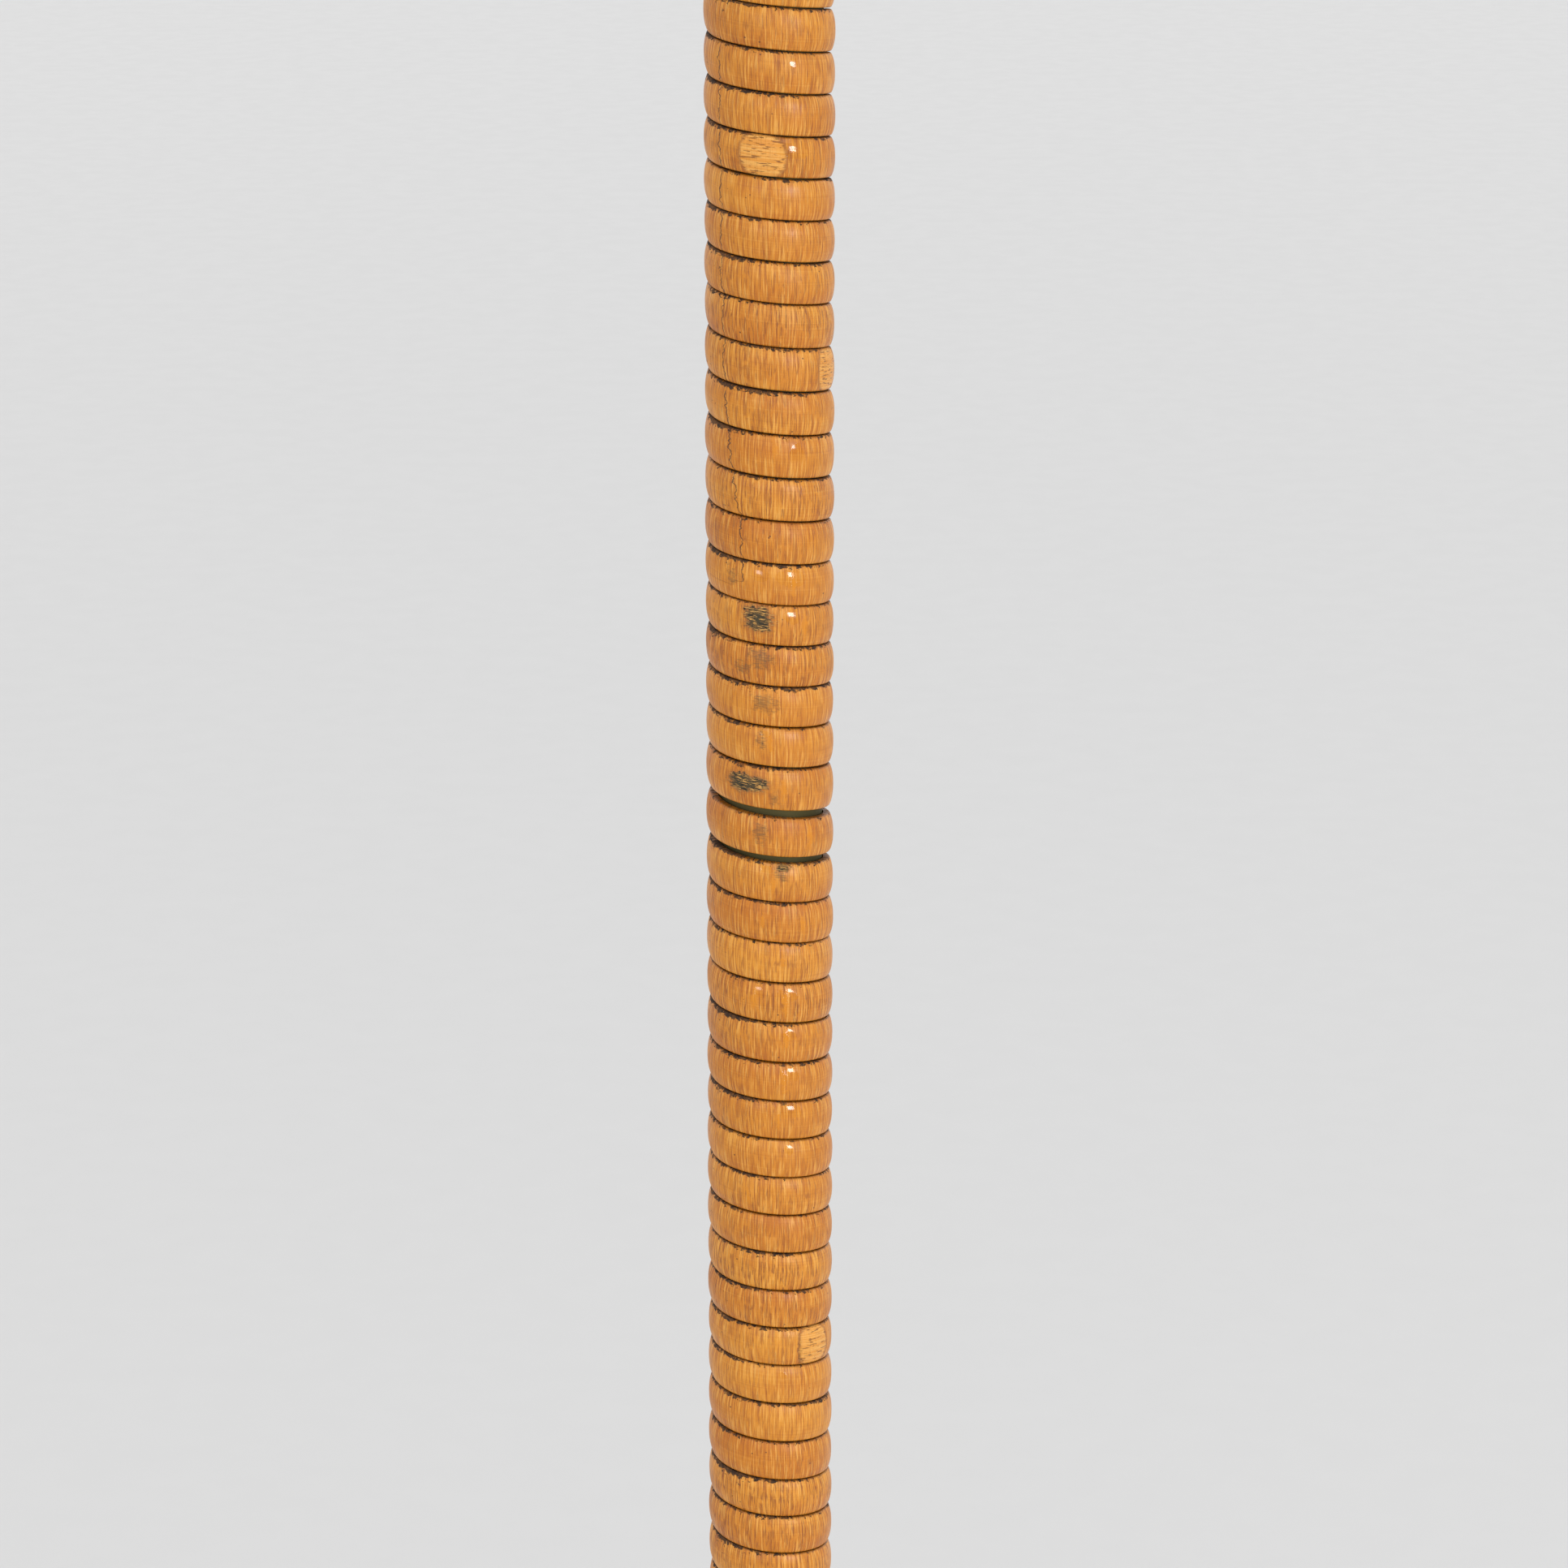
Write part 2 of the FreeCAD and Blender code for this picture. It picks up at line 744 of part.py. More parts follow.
def make_lampholder_shell():
    """The outer sleeve of the lampholder, with a rolled mouth; the shade's rings go round it."""
    inner = size.shell_radius - size.shell_wall
    height = size.shell_height
    body = turned("lampholder_shell", [
        (inner, 0),
        (size.shell_radius, 0),
        (size.shell_radius, height - size.shell_wall),
        (size.shell_radius - size.shell_wall, height,
         size.shell_radius - size.shell_wall * ROLLED_CORNER, height - size.shell_wall * ROLLED_CORNER),
        (size.shell_mouth, height),
        (size.shell_mouth, height - size.shell_wall),
        (inner, height - size.shell_wall),
    ])
    drill_right(body, size.spindle_radius + size.spindle_gap,
                size.spindle_height - size.shell_bottom, holder_radius)
    place(body, z=holder_base + size.shell_bottom)


def make_lampholder_insulator():
    outer = size.shell_radius - size.shell_wall - size.shade_gap
    body = turned("lampholder_insulator", [
        (size.insulator_hole, 0),
        (outer, 0),
        (outer, size.insulator_height),
        (size.insulator_hole, size.insulator_height),
    ])
    for side, name in ((1, "left_terminal"), (-1, "right_terminal")):
        drill_up(body, size.terminal_shank + size.fit_gap, size.terminal_length + size.fit_gap,
                 up=size.terminal_place * side, name=name)
    drill_right(body, size.spindle_radius + size.spindle_gap,
                size.spindle_height - size.shell_bottom, holder_radius,
                start=size.spindle_depth - size.spindle_gap)
    place(body, z=holder_base + size.shell_bottom)


def make_terminal_screws():
    """Two cheese-head screws in the underside of the insulator."""
    pieces = []
    under = holder_base + size.shell_bottom
    for side in (1, -1):
        for name, radius, length, bottom in (
            ("head", size.terminal_head, size.terminal_head_height, under - size.terminal_head_height),
            ("shank", size.terminal_shank, size.terminal_length, under),
        ):
            piece = doc.addObject("Part::Cylinder", f"terminal_{name}")
            bind(piece, "Radius", radius)
            bind(piece, "Height", length)
            place(piece, z=bottom, y=size.terminal_place * side)
            pieces.append(piece)
    screws = doc.addObject("Part::MultiFuse", "terminal_screws")
    screws.Shapes = pieces
    screws.Label = "terminal_screws"
    nodes.append(screws)


screw_shell_base = holder_base + size.shell_bottom + size.insulator_height


def make_screw_shell():
    inner = size.screw_shell_radius - size.screw_shell_wall
    place(turned("screw_shell", [
        (size.screw_shell_hole, 0),
        (size.screw_shell_radius, 0),
        (size.screw_shell_radius, size.screw_shell_height),
        (inner, size.screw_shell_height),
        (inner, size.screw_shell_wall),
        (size.screw_shell_hole, size.screw_shell_wall),
    ]), z=screw_shell_base)


def make_centre_contact():
    """The sprung tongue under the bulb's tip: a flat foot and a rising end."""
    body = new_body("centre_contact")
    sketch = new_sketch(body, "XZ_Plane", "strip_edge")
    strip = size.contact_strip
    reach = size.contact_width * TONGUE_REACH
    draw_outline(sketch, [
        (reach, 0),
        (reach, strip),
        (reach * TONGUE_BEND, strip),
        (-reach * TONGUE_RISE_END, size.contact_rise + strip),
        (-reach * TONGUE_TIP, size.contact_rise + strip),
        (-reach * TONGUE_TIP, size.contact_rise),
        (-reach * TONGUE_UNDER_RISE_END, size.contact_rise),
        (reach * TONGUE_UNDER_BEND, 0),
    ])
    pad = body.newObject("PartDesign::Pad", "strip")
    pad.Profile = sketch
    pad.Midplane = True
    pad.Length = value_of(size.contact_width)
    bind(pad, "Length", size.contact_width)
    doc.recompute()
    place(body, z=screw_shell_base)


def make_switch():
    """A rotary switch: a spindle from the insulator and a fluted knob outside the cap."""
    height = holder_base + size.spindle_height
    turn = FreeCAD.Rotation(Y_AXIS, 90)
    knob_face = holder_radius + size.knob_gap
    spindle_end = knob_face + size.knob_seat
    spindle = turned("switch_spindle", [
        (0, size.spindle_depth),
        (size.spindle_radius, size.spindle_depth),
        (size.spindle_radius, spindle_end),
        (0, spindle_end),
    ])
    hole_end = spindle_end + size.face_gap
    knob = turned("switch_knob", [
        (size.spindle_radius + size.fit_gap, knob_face),
        (size.knob_radius, knob_face),
        (size.knob_radius, knob_face + size.knob_length * KNOB_SHOULDER),
        (size.knob_radius * KNOB_TOP, knob_face + size.knob_length,
         size.knob_radius * KNOB_SIDE, knob_face + size.knob_length * KNOB_RISE),
        (0, knob_face + size.knob_length),
        (0, hole_end),
        (size.spindle_radius + size.fit_gap, hole_end),
    ])
    flute = new_sketch(knob, "XY_Plane", "flute")
    draw_circle(flute, size.knob_radius + size.knob_flute / 2, 0, size.knob_flute)
    cut = cut_sketch(knob, flute, knob_face + size.knob_length, reverse=True)
    pattern = knob.newObject("PartDesign::PolarPattern", "flutes")
    pattern.Originals = [cut]
    pattern.Axis = (flute, ["N_Axis"])
    pattern.Angle = 360
    pattern.Occurrences = int(size.knob_flutes.value)
    bind(pattern, "Occurrences", size.knob_flutes)
    knob.Tip = pattern
    for body in (spindle, knob):
        body.Placement = FreeCAD.Placement(vector(0, 0, height), turn)
        bind(body, "Placement.Base.z", height)


ring_radius = size.shell_radius + size.ring_width
fitter_radius = ring_radius + size.fitter_margin
ring_base = holder_base + size.ring_height
fitter_base = ring_base + size.ring_thickness + size.face_gap
wire_height = fitter_base + size.fitter_thickness / 2
shade_base = wire_height - size.wire_radius - size.shade_hem
shade_slope = (size.shade_bottom - size.shade_top) / size.shade_height


def make_shade_rings():
    """The two screwed rings that clamp the shade's fitter from below and above."""
    inner = size.shell_radius + size.ring_gap
    upper = fitter_base + size.fitter_thickness + size.face_gap
    for label, height in (("shade_ring_lower", ring_base), ("shade_ring_upper", upper)):
        bevel = size.ring_thickness * RING_BEVEL
        place(turned(label, [
            (inner, 0),
            (ring_radius - bevel, 0),
            (ring_radius, bevel),
            (ring_radius, size.ring_thickness - bevel),
            (ring_radius - bevel, size.ring_thickness),
            (inner, size.ring_thickness),
        ]), z=height)


def wire_circle_radius(height):
    """The radius of a wire hoop that lies against the shade's inside, at a height in the shade."""
    lining = size.shade_bottom - size.shade_wall - shade_slope * (height + size.wire_radius)
    return lining - size.wire_radius - size.shade_gap


def hoop_outline(radius, height):
    """A wire's section as an outline of equal sides."""
    sides = int(size.wire_sides.value)
    corners = []
    for side in range(sides):
        angle = 2 * math.pi * side / sides
        corners.append((size.wire_radius * math.cos(angle) + radius,
                        size.wire_radius * math.sin(angle) + height))
    return corners


def make_shade_fitter():
    """The flat ring that the two screwed rings clamp."""
    inner = size.shell_radius + size.fitter_gap
    place(turned("shade_fitter", [
        (inner, 0),
        (fitter_radius, 0),
        (fitter_radius, size.fitter_thickness),
        (inner, size.fitter_thickness),
    ]), z=fitter_base)


def make_shade_frame():
    """The lower hoop and the arms that carry it, butted against the fitter ring's edge."""
    body = new_body("shade_frame")
    middle = size.fitter_thickness / 2
    hoop = wire_circle_radius(size.shade_hem + size.wire_radius)
    revolve(body, hoop_outline(hoop, middle), name="hoop")
    sketch = new_sketch(body, "YZ_Plane", "arm_section")
    start = fitter_radius + size.face_gap
    sketch.AttachmentOffset = FreeCAD.Placement(vector(0, 0, start), FreeCAD.Rotation())
    bind(sketch, "AttachmentOffset.Base.z", start)
    draw_circle(sketch, 0, middle, size.wire_radius)
    arm = body.newObject("PartDesign::Pad", "arm")
    arm.Profile = sketch
    arm.Length = value_of(hoop - start)
    bind(arm, "Length", hoop - start)
    doc.recompute()
    around = new_sketch(body, "XY_Plane", "arm_axis")
    pattern = body.newObject("PartDesign::PolarPattern", "arms")
    pattern.Originals = [arm]
    pattern.Axis = (around, ["N_Axis"])
    pattern.Angle = 360
    pattern.Occurrences = int(size.arm_count.value)
    bind(pattern, "Occurrences", size.arm_count)
    body.Tip = pattern
    doc.recompute()
    place(body, z=fitter_base)


def make_shade():
    height = size.shade_height
    bottom = size.shade_bottom
    top = size.shade_top
    wall = size.shade_wall
    place(turned("shade_fabric", [
        (bottom - wall, 0), (bottom, 0), (top, height), (top - wall, height),
    ]), z=shade_base)
    hoop_height = height - size.shade_hem - size.wire_radius
    hoop = turned("shade_top_hoop", hoop_outline(wire_circle_radius(hoop_height), 0))
    place(hoop, z=shade_base + hoop_height)
    lean = shade_slope * size.trim_height
    gap = size.fit_gap
    for label, radius, up in (
        ("shade_trim_bottom", bottom + gap, shade_base),
        ("shade_trim_top", top + lean + gap, shade_base + height - size.trim_height),
    ):
        place(turned(label, [
            (radius, 0),
            (radius + size.trim_thickness, 0),
            (radius + size.trim_thickness - lean, size.trim_height),
            (radius - lean, size.trim_height),
        ]), z=up)


def bulb_wall_outline():
    """A blown bulb's wall: a round crown drawn in to a straight neck that is open below."""
    centre = size.bulb_height - size.bulb_radius

    def flare(radius, neck):
        """Where the crown meets the flare, and the middle of the flare's arc."""
        side = radius * CROWN_SIDE
        low = centre - radius * CROWN_FOOT
        waist = neck + (side - neck) * FLARE_SIDE
        return side, low, waist, size.bulb_neck_top + (low - size.bulb_neck_top) * FLARE_RISE

    neck = size.bulb_neck
    side, low, waist, waist_height = flare(size.bulb_radius, neck)
    inner = size.bulb_radius - size.bulb_wall
    inner_neck = neck - size.bulb_wall
    inner_side, inner_low, inner_waist, inner_waist_height = flare(inner, inner_neck)
    return [
        (inner_neck, size.bulb_neck_bottom),
        (neck, size.bulb_neck_bottom),
        (neck, size.bulb_neck_top),
        (side, low, waist, waist_height),
        (0, size.bulb_height, size.bulb_radius, centre),
        (0, size.bulb_height - size.bulb_wall),
        (inner_side, inner_low, inner, centre),
        (inner_neck, size.bulb_neck_top, inner_waist, inner_waist_height),
    ]


def make_bulb():
    base = screw_shell_base + size.contact_rise + size.contact_strip + size.bulb_gap
    tip = size.bulb_tip
    place(turned("bulb_contact", [
        (0, 0),
        (tip, size.bulb_tip_height, tip * TIP_SIDE, size.bulb_tip_height * TIP_RISE),
        (0, size.bulb_tip_height),
    ]), z=base)
    place(turned("bulb_insulator", [
        (0, size.bulb_tip_height),
        (tip, size.bulb_tip_height),
        (size.bulb_insulator, size.bulb_cap_bottom),
        (size.bulb_insulator, size.bulb_cap_bottom + size.bulb_cap_bevel),
        (0, size.bulb_cap_bottom + size.bulb_cap_bevel),
    ]), z=base)
    outer = size.bulb_cap_radius
    inner = outer - size.bulb_cap_wall
    bevel = size.bulb_cap_bevel
    place(turned("bulb_cap", [
        (outer - bevel, size.bulb_cap_bottom),
        (outer, size.bulb_cap_bottom + bevel),
        (outer, size.bulb_cap_top),
        (inner, size.bulb_cap_top),
        (inner, size.bulb_cap_bottom + bevel),
        (inner - bevel, size.bulb_cap_bottom),
    ]), z=base)
    place(turned("bulb_glass", bulb_wall_outline()), z=base)


def main():
    make_base_felt()
    make_base_weight()
    make_base_cover()
    make_cable_gland()
    make_base_collar()
    make_base_fixings()
    make_stem()
    make_ferrules()
    make_winding()
    make_head_cup()
    make_head_fixings()
    make_lampholder_cap()
    make_lampholder_shell()
    make_lampholder_insulator()
    make_terminal_screws()
    make_screw_shell()
    make_centre_contact()
    make_switch()
    make_shade_rings()
    make_shade_fitter()
    make_shade_frame()
    make_shade()
    make_bulb()
    doc.recompute()
    for item in doc.Objects:
        if "Invalid" in item.State or "Error" in item.State:
            raise ValueError(f"{item.Label} did not build: {item.State}")
    os.makedirs("parts", exist_ok=True)
    for node in nodes:
        if node.Shape.isNull() or not node.Shape.isValid():
            raise ValueError(f"{node.Label} has no valid shape")
    for node in nodes:
        node.Shape.exportStep(f"parts/{node.Label}.step")
        print(f"{node.Label}: {len(node.Shape.Solids)} solid, {node.Shape.Volume:.0f} mm3")


main()
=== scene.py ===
import math
import random

import bpy
import numpy as np
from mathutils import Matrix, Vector


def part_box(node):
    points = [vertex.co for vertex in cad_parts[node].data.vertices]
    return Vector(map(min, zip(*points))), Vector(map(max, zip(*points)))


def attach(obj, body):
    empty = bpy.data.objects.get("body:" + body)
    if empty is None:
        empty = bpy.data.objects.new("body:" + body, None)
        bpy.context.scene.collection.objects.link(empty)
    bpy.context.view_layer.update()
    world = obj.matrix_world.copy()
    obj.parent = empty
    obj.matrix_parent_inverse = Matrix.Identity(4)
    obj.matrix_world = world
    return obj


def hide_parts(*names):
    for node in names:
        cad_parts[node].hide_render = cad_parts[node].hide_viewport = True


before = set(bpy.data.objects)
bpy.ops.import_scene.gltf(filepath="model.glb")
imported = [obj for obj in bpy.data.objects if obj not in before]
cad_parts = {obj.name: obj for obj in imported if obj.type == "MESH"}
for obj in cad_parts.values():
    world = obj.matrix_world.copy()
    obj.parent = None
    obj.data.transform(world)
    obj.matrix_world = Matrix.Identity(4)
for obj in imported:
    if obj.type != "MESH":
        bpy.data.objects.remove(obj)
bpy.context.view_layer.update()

MM = 0.001
TURN = 2 * math.pi


# ---- the photograph's camera
STEM_RADIUS = 12.1  # outside of the winding
LENS = 124.07
SENSOR = 36.0  # a square frame
CAMERA_BACK = 990.0  # from the stem's axis
CAMERA_RIGHT = 2.7
CAMERA_PITCH = 16.34  # degrees below level
FIRST_GROOVE = 860.0  # height of the first whole groove below the frame's top edge
CAMERA_ABOVE_GROOVE = 148.1


def make_camera():
    data = bpy.data.cameras.new("camera")
    data.lens = LENS
    data.sensor_width = SENSOR
    camera = bpy.data.objects.new("camera", data)
    camera.location = (CAMERA_RIGHT * MM, -CAMERA_BACK * MM, (FIRST_GROOVE + CAMERA_ABOVE_GROOVE) * MM)
    camera.rotation_euler = (math.radians(90.0 - CAMERA_PITCH), 0.0, 0.0)
    bpy.context.scene.collection.objects.link(camera)
    bpy.context.scene.camera = camera


# ---- material helpers
def tone(red, green, blue):
    """A colour given in 0 to 255 screen values, as the linear colour that shaders use."""
    def linear(value):
        value = value / 255
        return value / 12.92 if value <= 0.04045 else ((value + 0.055) / 1.055) ** 2.4
    return (linear(red), linear(green), linear(blue), 1.0)


# the colour sockets of a Mix node, which has sockets of the same name for other types
MIX_FIRST = 6
MIX_SECOND = 7
MIX_RESULT = 2


class Material:
    """A node material, with short ways to add nodes and join them."""

    def __init__(self, name, metallic=0.0, **constants):
        self.material = bpy.data.materials.new(name)
        self.material.use_nodes = True
        self.nodes = self.material.node_tree.nodes
        self.links = self.material.node_tree.links
        self.shader = self.nodes["Principled BSDF"]
        self.shader.inputs["Metallic"].default_value = metallic
        for socket, value in constants.items():
            self.shader.inputs[socket.replace("_", " ")].default_value = value

    def put(self, value, socket):
        """Link a socket to a socket, or set the plain value."""
        if isinstance(value, bpy.types.NodeSocket):
            self.links.new(value, socket)
        elif value is not None:
            socket.default_value = value

    def finish(self, **outputs):
        for socket, value in outputs.items():
            self.put(value, self.shader.inputs[socket.replace("_", " ")])
        return self.material

    def math(self, operation, first, second=None, third=None):
        node = self.nodes.new("ShaderNodeMath")
        node.operation = operation
        for index, value in enumerate((first, second, third)):
            self.put(value, node.inputs[index])
        return node.outputs[0]

    def times(self, first, second):
        return self.math("MULTIPLY", first, second)

    def step(self, value, low, high, start=0.0, end=1.0):
        """A smooth step from start to end as the value goes from low to high."""
        node = self.nodes.new("ShaderNodeMapRange")
        node.interpolation_type = "SMOOTHSTEP"
        for index, item in enumerate((value, low, high, start, end)):
            self.put(item, node.inputs[index])
        return node.outputs[0]

    def mix(self, factor, first, second):
        """From the first colour to the second as the factor goes from 0 to 1."""
        node = self.nodes.new("ShaderNodeMix")
        node.data_type = "RGBA"
        self.put(factor, node.inputs["Factor"])
        self.put(first, node.inputs[MIX_FIRST])
        self.put(second, node.inputs[MIX_SECOND])
        return node.outputs[MIX_RESULT]

    def paint(self, base, mask, strength, colour):
        """Lay a colour over the base, at this strength where the mask is 1."""
        return self.mix(self.times(mask, strength), base, colour)

    def blur(self, value, reach, field):
        """Push a mark's edge in and out with a noise field."""
        return self.math("ADD", value, self.times(self.math("SUBTRACT", field, 0.5), reach))

    def total(self, parts, heights):
        """The sum of the named parts, each times its height."""
        result = 0.0
        for name, height in heights.items():
            result = self.math("MULTIPLY_ADD", parts[name], height, result)
        return result

    def attribute(self, name):
        node = self.nodes.new("ShaderNodeAttribute")
        node.attribute_name = name
        return node.outputs["Vector"]

    def split(self, vector):
        node = self.nodes.new("ShaderNodeSeparateXYZ")
        self.links.new(vector, node.inputs[0])
        return node.outputs

    def scaled(self, vector, factors):
        node = self.nodes.new("ShaderNodeVectorMath")
        node.operation = "MULTIPLY"
        self.links.new(vector, node.inputs[0])
        node.inputs[1].default_value = factors
        return node.outputs[0]

    def place(self):
        """The point's place in metres, which moves with its piece."""
        return self.nodes.new("ShaderNodeTexCoord").outputs["Object"]

    def texture(self, kind, vector, waves):
        """A texture with so many waves to each unit of the vector along x, y and z."""
        node = self.nodes.new(kind)
        self.links.new(self.scaled(vector, waves), node.inputs["Vector"])
        node.inputs["Scale"].default_value = 1.0
        return node

    def noise(self, vector, waves, detail=2.0, roughness=0.5):
        node = self.texture("ShaderNodeTexNoise", vector, waves)
        node.inputs["Detail"].default_value = detail
        node.inputs["Roughness"].default_value = roughness
        return node.outputs["Fac"]

    def cells(self, vector, waves):
        return self.texture("ShaderNodeTexVoronoi", vector, waves).outputs

    def bump(self, height, distance, strength=1.0):
        """A bumped normal. The distance is how far, in metres, a height of 1 stands out."""
        node = self.nodes.new("ShaderNodeBump")
        node.inputs["Strength"].default_value = strength
        node.inputs["Distance"].default_value = distance
        self.put(height, node.inputs["Height"])
        return node.outputs["Normal"]


def mesh_object(name, points, faces, layers=None, smooth=True):
    """A mesh object from points in mm, with vector layers on its points."""
    mesh = bpy.data.meshes.new(name)
    mesh.from_pydata([tuple(point) for point in np.asarray(points) * MM], [], faces)
    for layer, values in (layers or {}).items():
        data = mesh.attributes.new(layer, "FLOAT_VECTOR", "POINT")
        data.data.foreach_set("vector", np.asarray(values, np.float32).ravel())
    if smooth:
        mesh.shade_smooth()
    mesh.validate()
    obj = bpy.data.objects.new(name, mesh)
    bpy.context.scene.collection.objects.link(obj)
    return obj


def place_piece(piece, node, body, material):
    """Let a piece stand for a CAD node and on its body."""
    piece.data.materials.append(material)
    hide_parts(node)
    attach(piece, body)


# ---- the cane's spacing
# Distance from groove to groove down the front, from the first whole groove: (turns, pitch).
PHOTOGRAPHED_PITCHES = (
    (6, 7.78), (6, 8.22), (5, 7.91), (2, 9.07), (1, 8.47), (4, 8.06), (8, 7.80), (3, 8.06), (2, 7.81),
)
PHOTOGRAPHED_TURNS = (-40.0, 1.0)
UNSEEN_PITCH = 8.0
UNSEEN_SPREAD = (0.97, 1.03)
SPARE_TURNS = 3  # grooves worked out past each end of the winding
GROOVE_WIDTH = 0.24
GROOVE_WANDER = 0.09
WIDE_GROOVES = ((19, 1.3), (20, 1.05))  # groove number from the top, and its extra width
WIDE_REACH = 0.42  # of a turn
CANE_INNER = 10.2
CANE_THICKNESS = 1.9
END_CLEARANCE = 0.3
STRIP_TURNS = 24
STRIP_JOINT = 0.007  # of a turn
FINE_SEGMENTS = 100  # to a turn, in the photographed stretch
PLAIN_SEGMENTS = 60
WANDER_WAVES = (0.13, 0.31, 0.57, 0.93)  # to a turn
WANDER_SPREAD = (0.85, 1.15)
WANDER_SIZE = 2.6
SPACING_SEED = 4
GAP_SEED = 11
FIBRE_SEED = 18
RISE_SEED = 21
TILT_SEED = 31


def wander(turns, seed):
    """A smooth random wave between about -1 and 1 along the strip."""
    draw = random.Random(seed)
    total = 0.0
    for waves in WANDER_WAVES:
        total = total + np.sin(TURN * (waves * turns * draw.uniform(*WANDER_SPREAD) + draw.random()))
    return total / WANDER_SIZE


def groove_table():
    """Heights of the grooves at the front, one to a turn. Turn -k is the k-th groove from the
    photograph's top edge."""
    heights = {-1: FIRST_GROOVE}
    turn = -1
    for count, pitch in PHOTOGRAPHED_PITCHES:
        for _ in range(count):
            heights[turn - 1] = heights[turn] - pitch
            turn -= 1
    draw = random.Random(SPACING_SEED)
    while heights[turn] > winding_low - UNSEEN_PITCH * SPARE_TURNS:
        heights[turn - 1] = heights[turn] - UNSEEN_PITCH * draw.uniform(*UNSEEN_SPREAD)
        turn -= 1
    top = -1
    while heights[top] < winding_high + UNSEEN_PITCH * SPARE_TURNS:
        heights[top + 1] = heights[top] + UNSEEN_PITCH * draw.uniform(*UNSEEN_SPREAD)
        top += 1
    keys = sorted(heights)
    return np.array(keys, float), np.array([heights[key] for key in keys])


def groove_height(turns):
    """The groove's height in mm anywhere round the stem, smooth from turn to turn."""
    keys, heights = GROOVES
    slot = np.clip(np.floor(turns).astype(int) - int(keys[0]), 1, len(keys) - 3)
    part = turns - keys[slot]
    before, first, second, after = (heights[slot + step] for step in (-1, 0, 1, 2))
    leave = (second - before) / 2
    arrive = (after - first) / 2
    return (
        first * (2 * part ** 3 - 3 * part ** 2 + 1)
        + leave * (part ** 3 - 2 * part ** 2 + part)
        + second * (3 * part ** 2 - 2 * part ** 3)
        + arrive * (part ** 3 - part ** 2)
    )


def groove_gap(turns):
    """The width of the groove: even, but for the two places where the cane has slipped apart."""
    gap = GROOVE_WIDTH + GROOVE_WANDER * wander(turns, GAP_SEED)
    for number, extra in WIDE_GROOVES:
        gap = gap + extra * np.exp(-((turns + number) / WIDE_REACH) ** 4)
    return gap


# ---- marks on the cane
# Each mark: turn from the photograph's top, share of the turn's height below its upper groove,
# degrees to the right of the front, width and height in mm.
SCARS = (
    (3, 0.50, -6, 9.0, 8.6), (8, 0.50, 68, 7.8, 9.0), (32, 0.50, 47, 8.0, 9.0),
)
FRAYS = (
    (14, 0.36, -11, 5.6, 5.6), (14, 0.50, -6, 3.0, 3.2), (18, 0.42, -25, 6.6, 4.0),
    (18, 0.40, -12, 5.0, 3.0), (20, 0.12, 12, 3.0, 1.6),
    (32, 0.55, 30, 1.2, 6.4),
)
STAINS = (
    (15, 0.30, -8, 6.0, 4.8), (16, 0.42, -4, 6.0, 5.0), (17, 0.35, -8, 2.2, 4.4), (19, 0.40, -9, 3.6, 5.4),
    (13, 0.40, -36, 2.6, 4.2), (15, 0.60, -24, 4.0, 3.0), (20, 0.30, 10, 3.4, 3.0), (18, 0.70, 4, 2.6, 3.4),
)
DRIPS = (
    (10, 0.25, 5, 1.4, 5.0), (13, 0.45, 22, 1.2, 6.0), (14, 0.45, 33, 1.5, 6.8), (17, 0.40, 1, 1.3, 5.6),
    (18, 0.45, 13, 1.5, 6.6), (19, 0.45, 39, 1.6, 6.4), (20, 0.50, 3, 1.1, 5.8), (21, 0.45, -6, 1.0, 5.4),
    (21, 0.50, 31, 1.2, 6.2), (22, 0.40, 12, 1.1, 4.8), (23, 0.45, -15, 1.3, 5.8), (23, 0.50, 14, 1.5, 6.6),
    (24, 0.40, 15, 1.4, 5.4), (25, 0.45, 13, 1.3, 6.2), (26, 0.45, 8, 1.1, 4.6), (28, 0.50, -20, 1.0, 5.0),
)
GLOSSES = (
    (3, 0.28, 22, 7.0, 3.6), (13, 0.30, 20, 6.0, 3.4), (13, 0.28, -8, 3.4, 2.6), (14, 0.25, 21, 3.4, 3.0),
    (10, 0.40, 25, 3.0, 4.0), (17, 0.15, -3, 2.2, 1.6), (20, 0.15, -3, 2.6, 1.8), (23, 0.30, 16, 4.4, 3.2),
    (23, 0.25, -10, 2.4, 2.4), (24, 0.30, 18, 3.0, 3.0), (25, 0.30, 18, 4.0, 3.2), (26, 0.26, 19, 5.0, 3.2),
    (27, 0.24, 18, 1.8, 2.0), (33, 0.24, 12, 1.6, 1.6), (1, 0.25, 22, 1.6, 2.0),
)
# the hairline crack, as heights in mm and degrees to the right of the front
CRACK = ((862.0, -50.5), (826.0, -48.5), (801.0, -45.0), (783.0, -37.0), (772.0, -27.0), (760.0, -24.0))
FAR = 3.0
SCAR_POWER = 2.5


def mark_distance(turns, across, marks, power=2.0):
    """For points of the strip, how many mark radii away the nearest mark is; a higher power
    gives squarer marks."""
    nearest = np.full(turns.shape, FAR)
    round_length = TURN * STEM_RADIUS
    for turn, below, degrees, width, height in marks:
        centre = -(turn + 1) - degrees / 360
        along = (turns - centre) * round_length / (width / 2)
        up = (across - (0.5 - below) * UNSEEN_PITCH) / (height / 2)
        away = (np.abs(along) ** power + np.abs(up) ** power) ** (1 / power)
        nearest = np.minimum(nearest, away)
    return nearest


